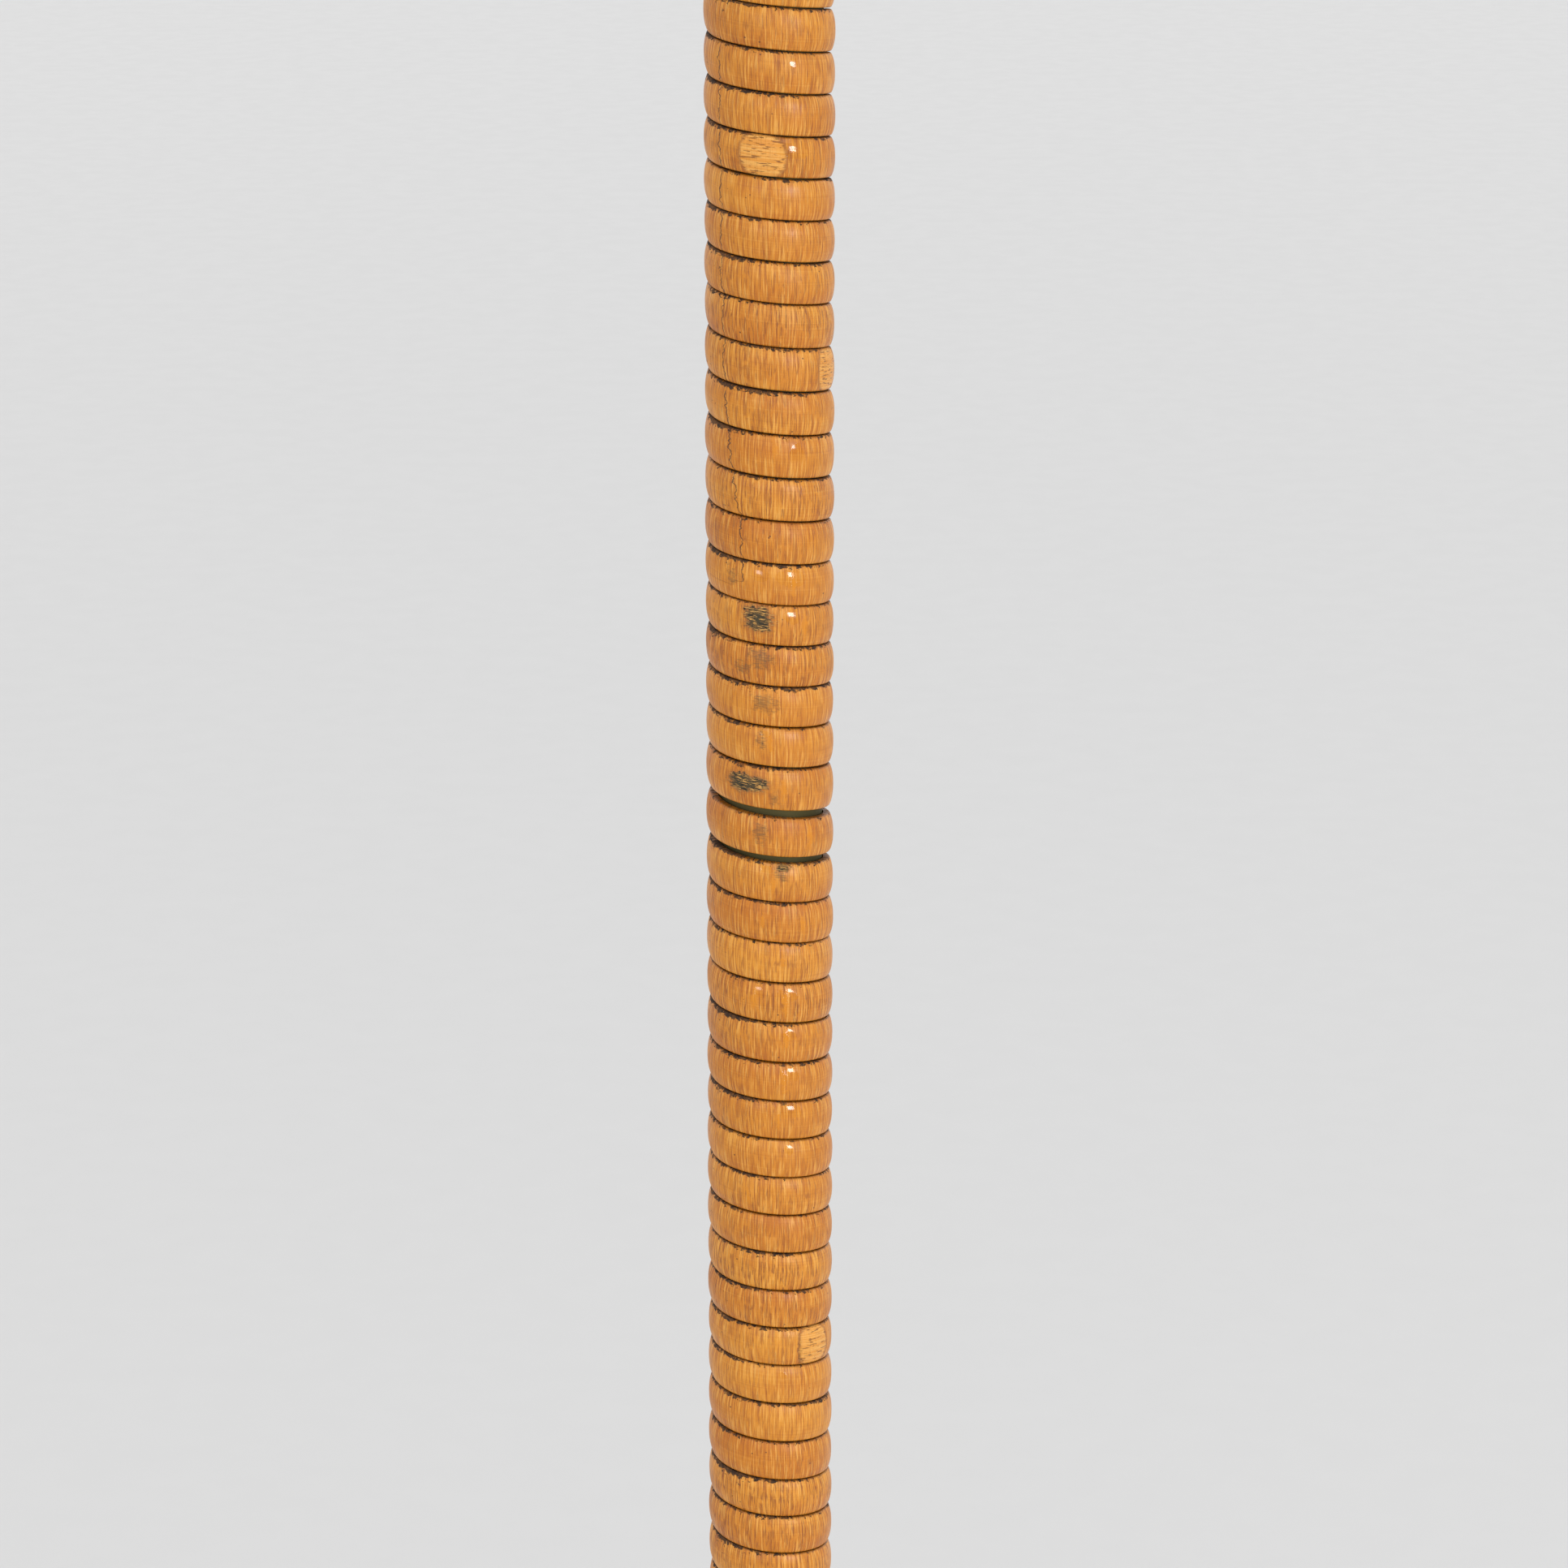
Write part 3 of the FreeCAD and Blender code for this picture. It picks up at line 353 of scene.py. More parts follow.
def crack_distance(turns, heights):
    """The distance round the stem, in mm, from the long hairline crack at the left."""
    levels = np.array([level for level, _ in CRACK])[::-1]
    angles = np.array([angle for _, angle in CRACK])[::-1]
    here = -((turns + 0.5) % 1.0 - 0.5) * 360
    gap = (here - np.interp(heights, levels, angles)) * math.pi / 180 * STEM_RADIUS
    beyond = (heights > levels[-1]) | (heights < levels[0])
    return np.clip(np.where(beyond, FAR, gap), -FAR, FAR)


# ---- the winding
CROWN_STATIONS = (0.0, 0.2, 0.4, 0.57, 0.72, 0.84, 0.92, 0.965, 0.985, 1.0)
CROWN_FALL = 0.031
CROWN_SHARP_FALL = 0.0015
CROWN_HALF = 3.775
EDGE_START = 0.92
EDGE_DROP = 0.2
OUTER_FACE = 0.6  # points this far out are on the cane's outer face
RISE_WANDER = 0.035
TILT_WANDER = 0.06
SCAR_DEPTH = 0.06
SCAR_EDGE = (1.15, 0.3)  # mark radii where the dent starts, and how far in it is full
FRAY_DEPTH = 0.13
FRAY_RIPPLE = 0.09
FRAY_EDGE = (1.1, 0.5)
RIPPLE_ACROSS = 5.0  # to a mm
RIPPLE_BEND = 1.3
RIPPLE_BEND_TURNS = 90.0
RIPPLE_TURNS = 47.0
WINDING_SHARP = 60.0


def cane_profile():
    """The strip's section: shares of the half width, and the height above the stem at each."""
    outer = sorted(set([-station for station in CROWN_STATIONS] + list(CROWN_STATIONS)))
    points = [(-1.0, 0.0)]
    for share in outer:
        across = abs(share) * CROWN_HALF
        height = CANE_THICKNESS - CROWN_FALL * across ** 2 - CROWN_SHARP_FALL * across ** 4
        edge = max(0.0, (abs(share) - EDGE_START) / (1.0 - EDGE_START))
        height -= EDGE_DROP * (1.0 - math.sqrt(max(0.0, 1.0 - edge ** 2)))
        points.append((share, height))
    points.append((1.0, 0.0))
    return np.array(points)


def station_turns(first, last):
    """Places along the strip, closer together in the photographed stretch."""
    places = [first]
    while places[-1] < last:
        photographed = PHOTOGRAPHED_TURNS[0] < places[-1] < PHOTOGRAPHED_TURNS[1]
        places.append(places[-1] + 1.0 / (FINE_SEGMENTS if photographed else PLAIN_SEGMENTS))
    places[-1] = last
    return np.array(places)


def worn(distance, edge):
    """How worn a place is, from 0 outside a mark to 1 well inside it."""
    start, reach = edge
    return np.clip(start - distance, 0, reach) / reach


def strip_mesh(first, last, profile):
    """Points, faces and surface coordinates of one strip of cane, first to last turn."""
    turns = station_turns(first, last)[:, None]
    low = groove_height(turns) + groove_gap(turns) / 2
    high = groove_height(turns + 1) - groove_gap(turns + 1) / 2
    half = (high - low) / 2
    share = profile[None, :, 0]
    rise = profile[None, :, 1] * (1.0 + RISE_WANDER * wander(turns, RISE_SEED))
    tilt = TILT_WANDER * wander(turns, TILT_SEED) * share * (rise > 0)
    across = share * half
    heights = (low + high) / 2 + across
    round_turns = np.broadcast_to(turns, heights.shape)
    scar = mark_distance(round_turns, across, SCARS, SCAR_POWER)
    fray = mark_distance(round_turns, across, FRAYS)
    drip = mark_distance(round_turns, across, DRIPS)
    stain = mark_distance(round_turns, across, STAINS)
    gloss = mark_distance(round_turns, across, GLOSSES)
    crack = crack_distance(round_turns, heights)
    bend = RIPPLE_BEND * np.sin(round_turns * RIPPLE_BEND_TURNS)
    ripple = np.sin(across * RIPPLE_ACROSS + bend) * np.sin(round_turns * RIPPLE_TURNS + across)
    dent = SCAR_DEPTH * worn(scar, SCAR_EDGE)
    dent = dent + (FRAY_DEPTH + FRAY_RIPPLE * ripple) * worn(fray, FRAY_EDGE)
    radius = CANE_INNER + np.maximum(rise + tilt - dent * (rise > OUTER_FACE), 0.0)
    angle = round_turns * TURN
    points = np.stack([-radius * np.sin(angle), -radius * np.cos(angle), heights], axis=-1)
    layers = {
        "strip": (angle * STEM_RADIUS, across, np.broadcast_to(half, across.shape)),
        "marks": (scar, fray, drip),
        "spoils": (stain, crack, gloss),
    }
    rows, columns = heights.shape
    index = np.arange(rows * columns).reshape(rows, columns)
    following = np.roll(index, -1, axis=1)
    quads = np.stack([index[:-1], following[:-1], following[1:], index[1:]], axis=-1).reshape(-1, 4)
    caps = [list(index[0, ::-1]), list(index[-1, :])]
    layers = {name: np.stack(parts, axis=-1).reshape(-1, 3) for name, parts in layers.items()}
    return points.reshape(-1, 3), quads, caps, layers


def make_winding():
    profile = cane_profile()
    keys, heights = GROOVES
    bottom = float(np.interp(winding_low + END_CLEARANCE, heights, keys))
    top = float(np.interp(winding_high - END_CLEARANCE, heights, keys)) - 1.0
    points, faces, layers = [], [], {"strip": [], "marks": [], "spoils": []}
    first = bottom
    count = 0
    while first < top:
        last = min(first + STRIP_TURNS, top)
        part, quads, caps, values = strip_mesh(first, last - STRIP_JOINT, profile)
        faces += (quads + count).tolist() + [[corner + count for corner in cap] for cap in caps]
        points.append(part)
        for name, value in values.items():
            layers[name].append(value)
        count += len(part)
        first = last
    winding = mesh_object("cane_winding", np.concatenate(points), faces,
                          {name: np.concatenate(value) for name, value in layers.items()})
    winding.data.set_sharp_from_angle(angle=math.radians(WINDING_SHARP))
    place_piece(winding, "rattan_winding", "stand", cane_material())


FIBRES_PER_MM = 2
FIBRE_STEPS = 3
FIBRE_SIDES = 5
FIBRE_RADIUS = 0.07
FIBRE_TAPER = 0.7
FIBRE_REACH = (0.9, 2.2)
FIBRE_LEAN = 0.35
FIBRE_ROOT = 0.35  # below the cane's crown
FIBRE_LIFT = 0.5
FIBRE_CURL = 1.5  # power of the lift along the fibre
FIBRE_BAND = 0.7  # share of the fray's height that fibres grow from


def make_fibres():
    """Loose ends of cane that stand up out of the worst frayed places."""
    draw = random.Random(FIBRE_SEED)
    points, faces = [], []
    for turn, below, degrees, width, height in FRAYS:
        for _ in range(round(width * FIBRES_PER_MM)):
            here = -(turn + 1) - degrees / 360
            here += draw.uniform(-0.5, 0.5) * width / (TURN * STEM_RADIUS)
            level = float(groove_height(np.array([here]))[0]) + UNSEEN_PITCH * (1.0 - below)
            level += draw.uniform(-0.5, 0.5) * height * FIBRE_BAND
            start = len(points)
            reach = draw.uniform(*FIBRE_REACH) / STEM_RADIUS
            lean = draw.uniform(-FIBRE_LEAN, FIBRE_LEAN)
            for step in range(FIBRE_STEPS + 1):
                share = step / FIBRE_STEPS
                angle = -here * TURN + reach * share
                out = CANE_INNER + CANE_THICKNESS - FIBRE_ROOT + FIBRE_LIFT * share ** FIBRE_CURL
                thin = FIBRE_RADIUS * (1.0 - FIBRE_TAPER * share)
                for side in range(FIBRE_SIDES):
                    round_fibre = TURN * side / FIBRE_SIDES
                    radius = out + thin * math.cos(round_fibre)
                    points.append((radius * math.sin(angle), -radius * math.cos(angle),
                                   level + lean * share + thin * math.sin(round_fibre)))
            for step in range(FIBRE_STEPS):
                row = start + step * FIBRE_SIDES
                for side in range(FIBRE_SIDES):
                    following = (side + 1) % FIBRE_SIDES
                    faces.append((row + side, row + following,
                                  row + FIBRE_SIDES + following, row + FIBRE_SIDES + side))
            tip = start + FIBRE_STEPS * FIBRE_SIDES
            faces.append(tuple(range(start, start + FIBRE_SIDES))[::-1])
            faces.append(tuple(range(tip, tip + FIBRE_SIDES)))
    fibres = mesh_object("cane_fibres", points, faces)
    fibres.data.materials.append(speckled_material("raw_cane"))
    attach(fibres, "stand")


# ---- the cane's material
# Noise over the strip: waves to a mm along it and across it, detail and roughness.
CANE_FIELDS = {
    "broad": (0.013, 0.05, 3.0, 0.6),
    "patch": (0.07, 0.16, 3.0, 0.5),
    "mottle": (0.75, 0.9, 4.0, 0.7),
    "fibre": (0.035, 3.4, 3.0, 0.65),
    "grain": (3.1, 0.16, 2.0, 0.6),
    "check": (1.15, 0.055, 2.5, 0.62),
    "heavy": (0.004, 0.0, 1.0, 0.5),
    "broken": (0.8, 0.5, 2.0, 0.5),
    "runs": (0.55, 0.06, 2.0, 0.5),
    "run_place": (0.03, 0.1, 1.0, 0.5),
    "grime": (1.0, 1.3, 4.0, 0.7),
    "threads": (0.5, 4.5, 3.0, 0.6),
    "dashes": (0.42, 2.6, 2.0, 0.5),
    "crack_wave": (0.25, 0.7, 3.0, 0.5),
    "haze": (0.05, 0.2, 2.0, 0.5),
}
SPECK_CELLS = (0.42, 0.5, 0.0)
DEEP_WOOD = tone(196, 116, 14)
LIGHT_WOOD = tone(218, 144, 38)
# Tones laid over the wood in turn: field, its value at no and at full strength, strength, tone.
CANE_LAYERS = (
    ("patch", 0.35, 0.70, 0.50, tone(207, 128, 22)),
    ("fibre", 0.52, 0.72, 0.34, tone(172, 96, 16)),
    ("fibre", 0.46, 0.30, 0.26, tone(232, 168, 72)),
    ("grain", 0.50, 0.64, 0.60, tone(166, 88, 14)),
    ("grain", 0.48, 0.35, 0.50, tone(240, 180, 88)),
)
CHECK_TONE = tone(126, 60, 16)
VARNISH_TONE = tone(214, 132, 0)
# painted shade laid along both edges of each turn, beside the groove
EDGE_SHADE_TONE = tone(96, 54, 18)
DIRT_TONES = (tone(46, 26, 11), tone(108, 70, 30))
SPECK_TONE = tone(74, 36, 14)
STAIN_TONE = tone(104, 72, 34)
HALO_TONE = tone(150, 88, 30)
RAW_TONES = (tone(42, 34, 22), tone(212, 158, 84))
RAW_DIRT_TONE = tone(66, 58, 38)
SCAR_TONES = (tone(220, 144, 48), tone(236, 174, 86))
SCAR_DASH_TONE = tone(120, 66, 22)
SCAR_RIM_TONE = tone(140, 80, 26)
CRACK_TONE = tone(80, 46, 20)
# How far things stand out of the surface, in parts of RELIEF_HEIGHT, which is in metres.
RELIEF_HEIGHT = 0.00004
WOOD_RELIEF = {"check": -1.0, "fibre": 0.5, "grain": -1.1}
MARK_RELIEF = {"raw": 3.0, "dash": -2.0, "crack": -2.0, "runs": 0.8, "grime": 1.5}
DULL_ROUGHNESS = (0.33, 0.46)
SHINE_SMOOTHING = 0.78  # share of the roughness that a glossy place loses
SHINE_FLATNESS = 0.93  # share of the wood's relief that varnish fills there
RAW_ROUGHNESS = 0.85
DIRT_ROUGHNESS = 0.8


def cane_wood(m, field):
    """The wood's colour, and where fine checks cross it."""
    base = m.mix(m.step(field["broad"], 0.36, 0.64), DEEP_WOOD, LIGHT_WOOD)
    for name, low, high, strength, colour in CANE_LAYERS:
        base = m.mix(m.step(field[name], low, high, 0.0, strength), base, colour)
    check = m.math("ABSOLUTE", m.math("SUBTRACT", field["check"], 0.5))
    check = m.step(check, 0.0, 0.035, 1.0, 0.0)
    check = m.times(check, m.step(field["broken"], 0.30, 0.52))
    check = m.times(check, m.step(field["heavy"], 0.35, 0.68, 0.35, 1.0))
    return m.paint(base, check, 0.78, CHECK_TONE), check


def cane_varnish(m, field, base, drip):
    """Varnish that has run and pooled."""
    runs = m.times(m.step(field["runs"], 0.62, 0.70), m.step(field["run_place"], 0.55, 0.7))
    dripped = m.step(m.blur(drip, 2.2, field["mottle"]), 1.1, 0.5)
    runs = m.math("MAXIMUM", m.times(runs, 0.6), dripped)
    return m.paint(base, runs, 0.75, VARNISH_TONE), runs


def cane_dirt_and_shade(m, field, base, strip):
    """Dirt in the grooves, heavier along each turn's upper edge, and specks; painted shade: more dirt
    towards the left, away from the key light, and dark edges where each turn rounds into the groove.
    """
    _, across, half = m.split(strip)
    edge = m.math("DIVIDE", across, half)
    right = m.math("DIVIDE", m.split(m.place())[0], STEM_RADIUS * MM)
    level = m.math("MULTIPLY_ADD", m.step(edge, 0.66, 1.0), 0.26, field["grime"])
    level = m.math("MULTIPLY_ADD", m.math("SUBTRACT", field["patch"], 0.5), 0.5, level)
    # partly painted shade: the dirt grows towards the stem's left (-x) side, the side away from the key
    # light
    level = m.math("MULTIPLY_ADD", m.step(right, 0.8, -0.9), 0.09, level)
    grime = m.step(level, 0.775, 0.84)
    # painted shade: both edges of each turn are darkened where they round down into the groove
    rim = m.math("MAXIMUM", m.step(edge, 0.90, 1.0), m.step(edge, -0.93, -1.0))
    base = m.paint(base, rim, 0.62, EDGE_SHADE_TONE)
    base = m.mix(grime, base, m.mix(m.step(field["mottle"], 0.4, 0.66), *DIRT_TONES))
    specks = m.cells(strip, SPECK_CELLS)
    speck_on = m.math("GREATER_THAN", m.split(specks["Color"])[0], 0.8)
    speck = m.times(m.step(specks["Distance"], 0.11, 0.05), speck_on)
    return m.paint(base, speck, 0.8, SPECK_TONE), grime


def cane_scuffs(m, field, base, stain, fray):
    """Stains, and frayed places with raw cane and dirt between its threads."""
    threads, mottle = field["threads"], field["mottle"]
    soiled = m.times(m.step(m.blur(stain, 3.4, mottle), 1.0, 0.35), m.step(threads, 0.38, 0.58, 0.3, 1.0))
    base = m.paint(base, soiled, 0.68, STAIN_TONE)
    base = m.mix(m.step(m.blur(fray, 1.6, mottle), 1.5, 0.9, 0.0, 0.5), base, HALO_TONE)
    scuffed = m.step(m.blur(fray, 2.0, mottle), 1.05, 0.7)
    raw = m.mix(m.step(threads, 0.47, 0.60), *RAW_TONES)
    raw = m.mix(m.step(mottle, 0.42, 0.60), raw, RAW_DIRT_TONE)
    return m.mix(scuffed, base, raw), scuffed


def cane_scars(m, field, base, scar, crack):
    """Pale leaf scars with dark dashes and rims, and the hairline crack."""
    edge = m.blur(scar, 0.35, field["mottle"])
    scarred = m.step(edge, 1.04, 0.94)
    dash = m.step(field["dashes"], 0.58, 0.65)
    pale = m.mix(m.step(field["fibre"], 0.4, 0.6), *SCAR_TONES)
    pale = m.paint(pale, dash, 0.85, SCAR_DASH_TONE)
    base = m.paint(base, scarred, 0.85, pale)
    rim = m.times(m.step(edge, 0.86, 1.0), m.step(edge, 1.14, 1.0))
    base = m.paint(base, rim, 0.55, SCAR_RIM_TONE)
    line = m.step(m.math("ABSOLUTE", m.blur(crack, 2.4, field["crack_wave"])), 0.17, 0.06)
    line = m.times(line, m.step(field["broken"], 0.34, 0.5, 0.45, 1.0))
    return m.paint(base, line, 0.85, CRACK_TONE), m.times(dash, scarred), line


def cane_material():
    """Old varnished cane, mostly dull, which still shines in some places."""
    m = Material("varnished_cane")
    strip = m.attribute("strip")
    scar, fray, drip = m.split(m.attribute("marks"))
    stain, crack, gloss = m.split(m.attribute("spoils"))
    field = {}
    for name, (along, across, detail, roughness) in CANE_FIELDS.items():
        field[name] = m.noise(strip, (along, across, 0.0), detail, roughness)
    base, check = cane_wood(m, field)
    base, runs = cane_varnish(m, field, base, drip)
    base, grime = cane_dirt_and_shade(m, field, base, strip)
    base, scuffed = cane_scuffs(m, field, base, stain, fray)
    base, dash, line = cane_scars(m, field, base, scar, crack)

    shine = m.step(m.blur(gloss, 0.6, field["mottle"]), 1.15, 0.9)
    rough = m.step(field["haze"], 0.35, 0.65, *DULL_ROUGHNESS)
    rough = m.times(rough, m.math("MULTIPLY_ADD", shine, -SHINE_SMOOTHING, 1.0))
    rough = m.math("MAXIMUM", rough, m.times(scuffed, RAW_ROUGHNESS))
    rough = m.math("MAXIMUM", rough, m.times(grime, DIRT_ROUGHNESS))
    bare = m.math("SUBTRACT", 1.0, m.times(shine, SHINE_FLATNESS))
    wood = {"check": check, "fibre": field["fibre"], "grain": field["grain"]}
    marks = {"raw": m.times(field["threads"], scuffed), "dash": dash, "crack": line,
             "runs": runs, "grime": grime}
    relief = m.math("ADD", m.times(m.total(wood, WOOD_RELIEF), bare), m.total(marks, MARK_RELIEF))
    return m.finish(Base_Color=base, Roughness=rough, Normal=m.bump(relief, RELIEF_HEIGHT))


# ---- metals and hard parts
# Waves to a metre.
BRASS_CLOUDS = (22.0, 22.0, 22.0)
BRASS_SPOTS = (330.0, 330.0, 330.0)
BRASS_TURNING = (60.0, 60.0, 2600.0)
BRASS_TONES = (tone(203, 163, 92), tone(184, 141, 74))
BRASS_SPOT_TONE = tone(104, 72, 38)
TARNISH_TONES = (tone(64, 62, 40), tone(112, 104, 70))
TARNISH_EDGE = 0.002
TARNISH_ROUGHNESS = 0.6
FINE_TO_CLOUD = 14  # how many times finer the grain is than the clouds
# Hard materials: light and dark tone, roughness, clouds to a metre, and what else differs.
HARD_MATERIALS = {
    "plain_brass": (tone(196, 158, 92), tone(140, 104, 54), 0.35, 60.0, {"metallic": 1.0}),
    "zinc_steel": (tone(176, 178, 180), tone(128, 130, 132), 0.3, 90.0, {"metallic": 1.0}),
    "cast_iron": (tone(46, 45, 44), tone(24, 23, 23), 0.7, 50.0, {"grain": 0.0004}),
    "bakelite": (tone(44, 28, 20), tone(22, 14, 10), 0.22, 45.0, {"Coat_Weight": 0.3}),
    "porcelain": (tone(236, 232, 222), tone(222, 216, 202), 0.14, 40.0,
                  {"grain": 0.00002, "Coat_Weight": 0.5}),
    "black_glass": (tone(28, 26, 26), tone(14, 13, 13), 0.12, 70.0, {}),
    "wire_enamel": (tone(230, 227, 216), tone(218, 213, 199), 0.34, 12.0, {}),
    "raw_cane": (tone(220, 176, 108), tone(160, 116, 58), 0.7, 300.0, {}),
}
# CAD nodes that keep their own mesh and get a better material.
DRESSED_NODES = {
    "aged_brass": ("base_cover", "base_collar", "lower_ferrule", "upper_ferrule", "head_cup",
                   "lampholder_cap"),
    "stem_brass": ("stem_tube",),
    "plain_brass": ("base_nipple", "base_nut", "lower_bushing", "upper_bushing", "holder_nipple",
                    "holder_locknut", "terminal_screws", "screw_shell", "centre_contact",
                    "bulb_contact"),
    "zinc_steel": ("base_washer", "lock_washer", "switch_spindle"),
    "cast_iron": ("base_weight",),
    "bakelite": ("cable_gland", "switch_knob"),
    "porcelain": ("lampholder_insulator",),
    "black_glass": ("bulb_insulator",),
    "wire_enamel": ("shade_fitter",),
    "opal_glass": ("bulb_glass",),
}


def brass_material(name, wound=None):
    """Polished brass that has dulled and spotted with age; a wound stretch is dark and green."""
    m = Material(name, metallic=1.0)
    place = m.place()
    cloud = m.noise(place, BRASS_CLOUDS, detail=4.0, roughness=0.6)
    spots = m.noise(place, BRASS_SPOTS, detail=3.0, roughness=0.7)
    turning = m.noise(place, BRASS_TURNING)
    base = m.mix(m.step(cloud, 0.3, 0.72), *BRASS_TONES)
    base = m.mix(m.step(spots, 0.60, 0.74, 0.0, 0.55), base, BRASS_SPOT_TONE)
    rough = m.step(cloud, 0.3, 0.7, 0.19, 0.29)
    rough = m.math("ADD", rough, m.times(m.step(spots, 0.55, 0.75), 0.2))
    if wound is not None:
        low, high = wound
        height = m.split(place)[2]
        inside = m.times(m.step(height, low, low + TARNISH_EDGE), m.step(height, high, high - TARNISH_EDGE))
        base = m.mix(inside, base, m.mix(cloud, *TARNISH_TONES))
        rough = m.math("MAXIMUM", rough, m.times(inside, TARNISH_ROUGHNESS))
    normal = m.bump(m.math("ADD", turning, m.times(spots, 0.4)), 0.00002, 0.6)
    return m.finish(Base_Color=base, Roughness=rough, Normal=normal)


def speckled_material(name):
    """A hard surface with clouded tone, fine grain and an uneven gloss."""
    light, dark, roughness, clouds, others = HARD_MATERIALS[name]
    constants = dict(others)
    grain = constants.pop("grain", 0.00005)
    m = Material(name, **constants)
    place = m.place()
    cloud = m.noise(place, (clouds,) * 3, detail=4.0, roughness=0.6)
    fine = m.noise(place, (clouds * FINE_TO_CLOUD,) * 3, detail=3.0, roughness=0.7)
    base = m.mix(m.step(cloud, 0.32, 0.68), light, dark)
    base = m.mix(m.step(fine, 0.58, 0.72, 0.0, 0.35), base, dark)
    rough = m.step(cloud, 0.3, 0.7, roughness * 0.8, roughness * 1.25)
    return m.finish(Base_Color=base, Roughness=rough, Normal=m.bump(fine, grain, 0.7))


def opal_material():
    m = Material("opal_glass", Coat_Weight=0.6, Coat_Roughness=0.06)
    cloud = m.noise(m.place(), (40.0,) * 3, detail=3.0)
    base = m.mix(m.step(cloud, 0.3, 0.7), tone(236, 234, 226), tone(226, 224, 216))
    return m.finish(Base_Color=base, Roughness=m.step(cloud, 0.3, 0.7, 0.16, 0.28))


def dress_cad_nodes():
    """Give the CAD nodes their materials, and replace the ones that need more shape."""
    materials = {
        "aged_brass": brass_material("aged_brass"),
        "stem_brass": brass_material("stem_brass", (winding_low * MM, winding_high * MM)),
        "opal_glass": opal_material(),
    }
    for name, nodes in DRESSED_NODES.items():
        if name not in materials:
            materials[name] = speckled_material(name)
        for node in nodes:
            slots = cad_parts[node].data.materials
            slots.clear()
            slots.append(materials[name])
    make_shade_rings(materials["aged_brass"])
    make_holder_shell(materials["aged_brass"])
    make_bulb_cap(materials["zinc_steel"])
    make_shade_wires(materials["wire_enamel"])


# ---- cloth
YARN = 0.55  # from yarn to yarn, in mm
YARN_WOBBLE = 0.8
WEAVE_TONE = tone(176, 158, 126)
SLUB_TONE = tone(196, 178, 142)
SLUB_RELIEF = 1.4
# the cloth's two ends meet in a joint this wide, in radians, at the back
HAIR_JOINT = 0.0003
SHADE_WALL = 0.8
SHADE_PROUD = 0.4  # the linen's top edge stands this far outside the upper hoop's wall
SHADE_SEGMENTS = 180
SHADE_ROWS = 24
LINEN_SHARP = 50.0
LAP_RISE = 0.35
LAP_HALF = 6.0
LAP_SECTION = ((-1.0, 0.0), (-0.94, 1.0), (0.0, 1.0), (0.94, 1.0), (1.0, 0.0))
LAP_ARC = 300.0  # where the lap's own piece of weave starts
LAP_END_ROWS = 2
TAPE_WIDTH = 10.0
TAPE_SHARES = (0.0, 0.15, 0.5, 0.85, 1.0)
TAPE_PROUD = 0.18
TAPE_SWELL = 0.25
TAPE_THICKNESS = 0.12
TAPES = (("bottom_tape", "shade_trim_bottom", 1), ("top_tape", "shade_trim_top", -1))
FELT_HOLE = 30.0
FELT_SEGMENTS = 128
FELT_TONES = (tone(44, 66, 46), tone(60, 84, 58))
FELT_HAIR_TONE = tone(28, 42, 30)


def turned_sizes(node):
    """A turned node's outer radius, bottom and top, in mm."""
    low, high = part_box(node)
    return high.x / MM, low.z / MM, high.z / MM


def linen_material(name, warm, pale):
    """A plain weave of slubby yarns, from the cloth's own arc and height in mm."""
    m = Material(name, Sheen_Weight=0.25, Sheen_Roughness=0.6)
    cloth = m.attribute("cloth")
    arc, rise, _ = m.split(cloth)
    yarns = []
    for distance, waves in ((rise, (0.02, 0.3, 0.0)), (arc, (0.3, 0.02, 0.0))):
        wobble = m.times(m.noise(cloth, waves), YARN_WOBBLE)
        yarns.append(m.math("SINE", m.times(m.math("ADD", distance, wobble), TURN / YARN)))
    weave = m.times(*yarns)
    slub_across = m.noise(cloth, (0.05, 1.7, 0.0))
    slub_up = m.noise(cloth, (1.7, 0.05, 0.0))
    slubs = m.math("MAXIMUM", m.step(slub_across, 0.58, 0.72), m.step(slub_up, 0.60, 0.74))
    age = m.noise(cloth, (0.012, 0.012, 0.0), detail=3.0)
    base = m.mix(m.step(age, 0.1, 0.9, 0.2, 0.8), warm, pale)
    base = m.mix(m.step(weave, -0.6, 0.9, 0.0, 0.28), base, WEAVE_TONE)
    base = m.paint(base, slubs, 0.4, SLUB_TONE)
    relief = m.math("ADD", weave, m.times(slubs, SLUB_RELIEF))
    return m.finish(Base_Color=base, Roughness=0.85, Normal=m.bump(relief, 0.00009))


def felt_material():
    m = Material("pressed_felt", Sheen_Weight=0.4, Sheen_Roughness=0.5)
    place = m.place()
    hairs = m.noise(place, (900.0,) * 3, detail=4.0, roughness=0.75)
    cloud = m.noise(place, (60.0,) * 3, detail=3.0)
    base = m.mix(m.step(cloud, 0.3, 0.7), *FELT_TONES)
    base = m.mix(m.step(hairs, 0.5, 0.7, 0.0, 0.6), base, FELT_HAIR_TONE)
    return m.finish(Base_Color=base, Roughness=0.95, Normal=m.bump(hairs, 0.0004, 0.9))


def ring_faces(steps, rows):
    """Quads that close a turned outline round the axis."""
    faces = []
    for step in range(steps):
        following = (step + 1) % steps
        for row in range(rows):
            upper = (row + 1) % rows
            faces.append((step * rows + row, following * rows + row,
                          following * rows + upper, step * rows + upper))
    return faces


def band_mesh(name, stations, segments):
    """A closed band turned about the stem's axis from (radius, height) stations in mm."""
    points, cloth = [], []
    angles = [TURN * step / segments for step in range(segments)] + [TURN - HAIR_JOINT]
    for angle in angles:
        for radius, height in stations:
            points.append((radius * math.sin(angle), radius * math.cos(angle), height))
            cloth.append((angle * stations[0][0], height, 0.0))
    return mesh_object(name, points, ring_faces(len(angles), len(stations)), {"cloth": cloth})


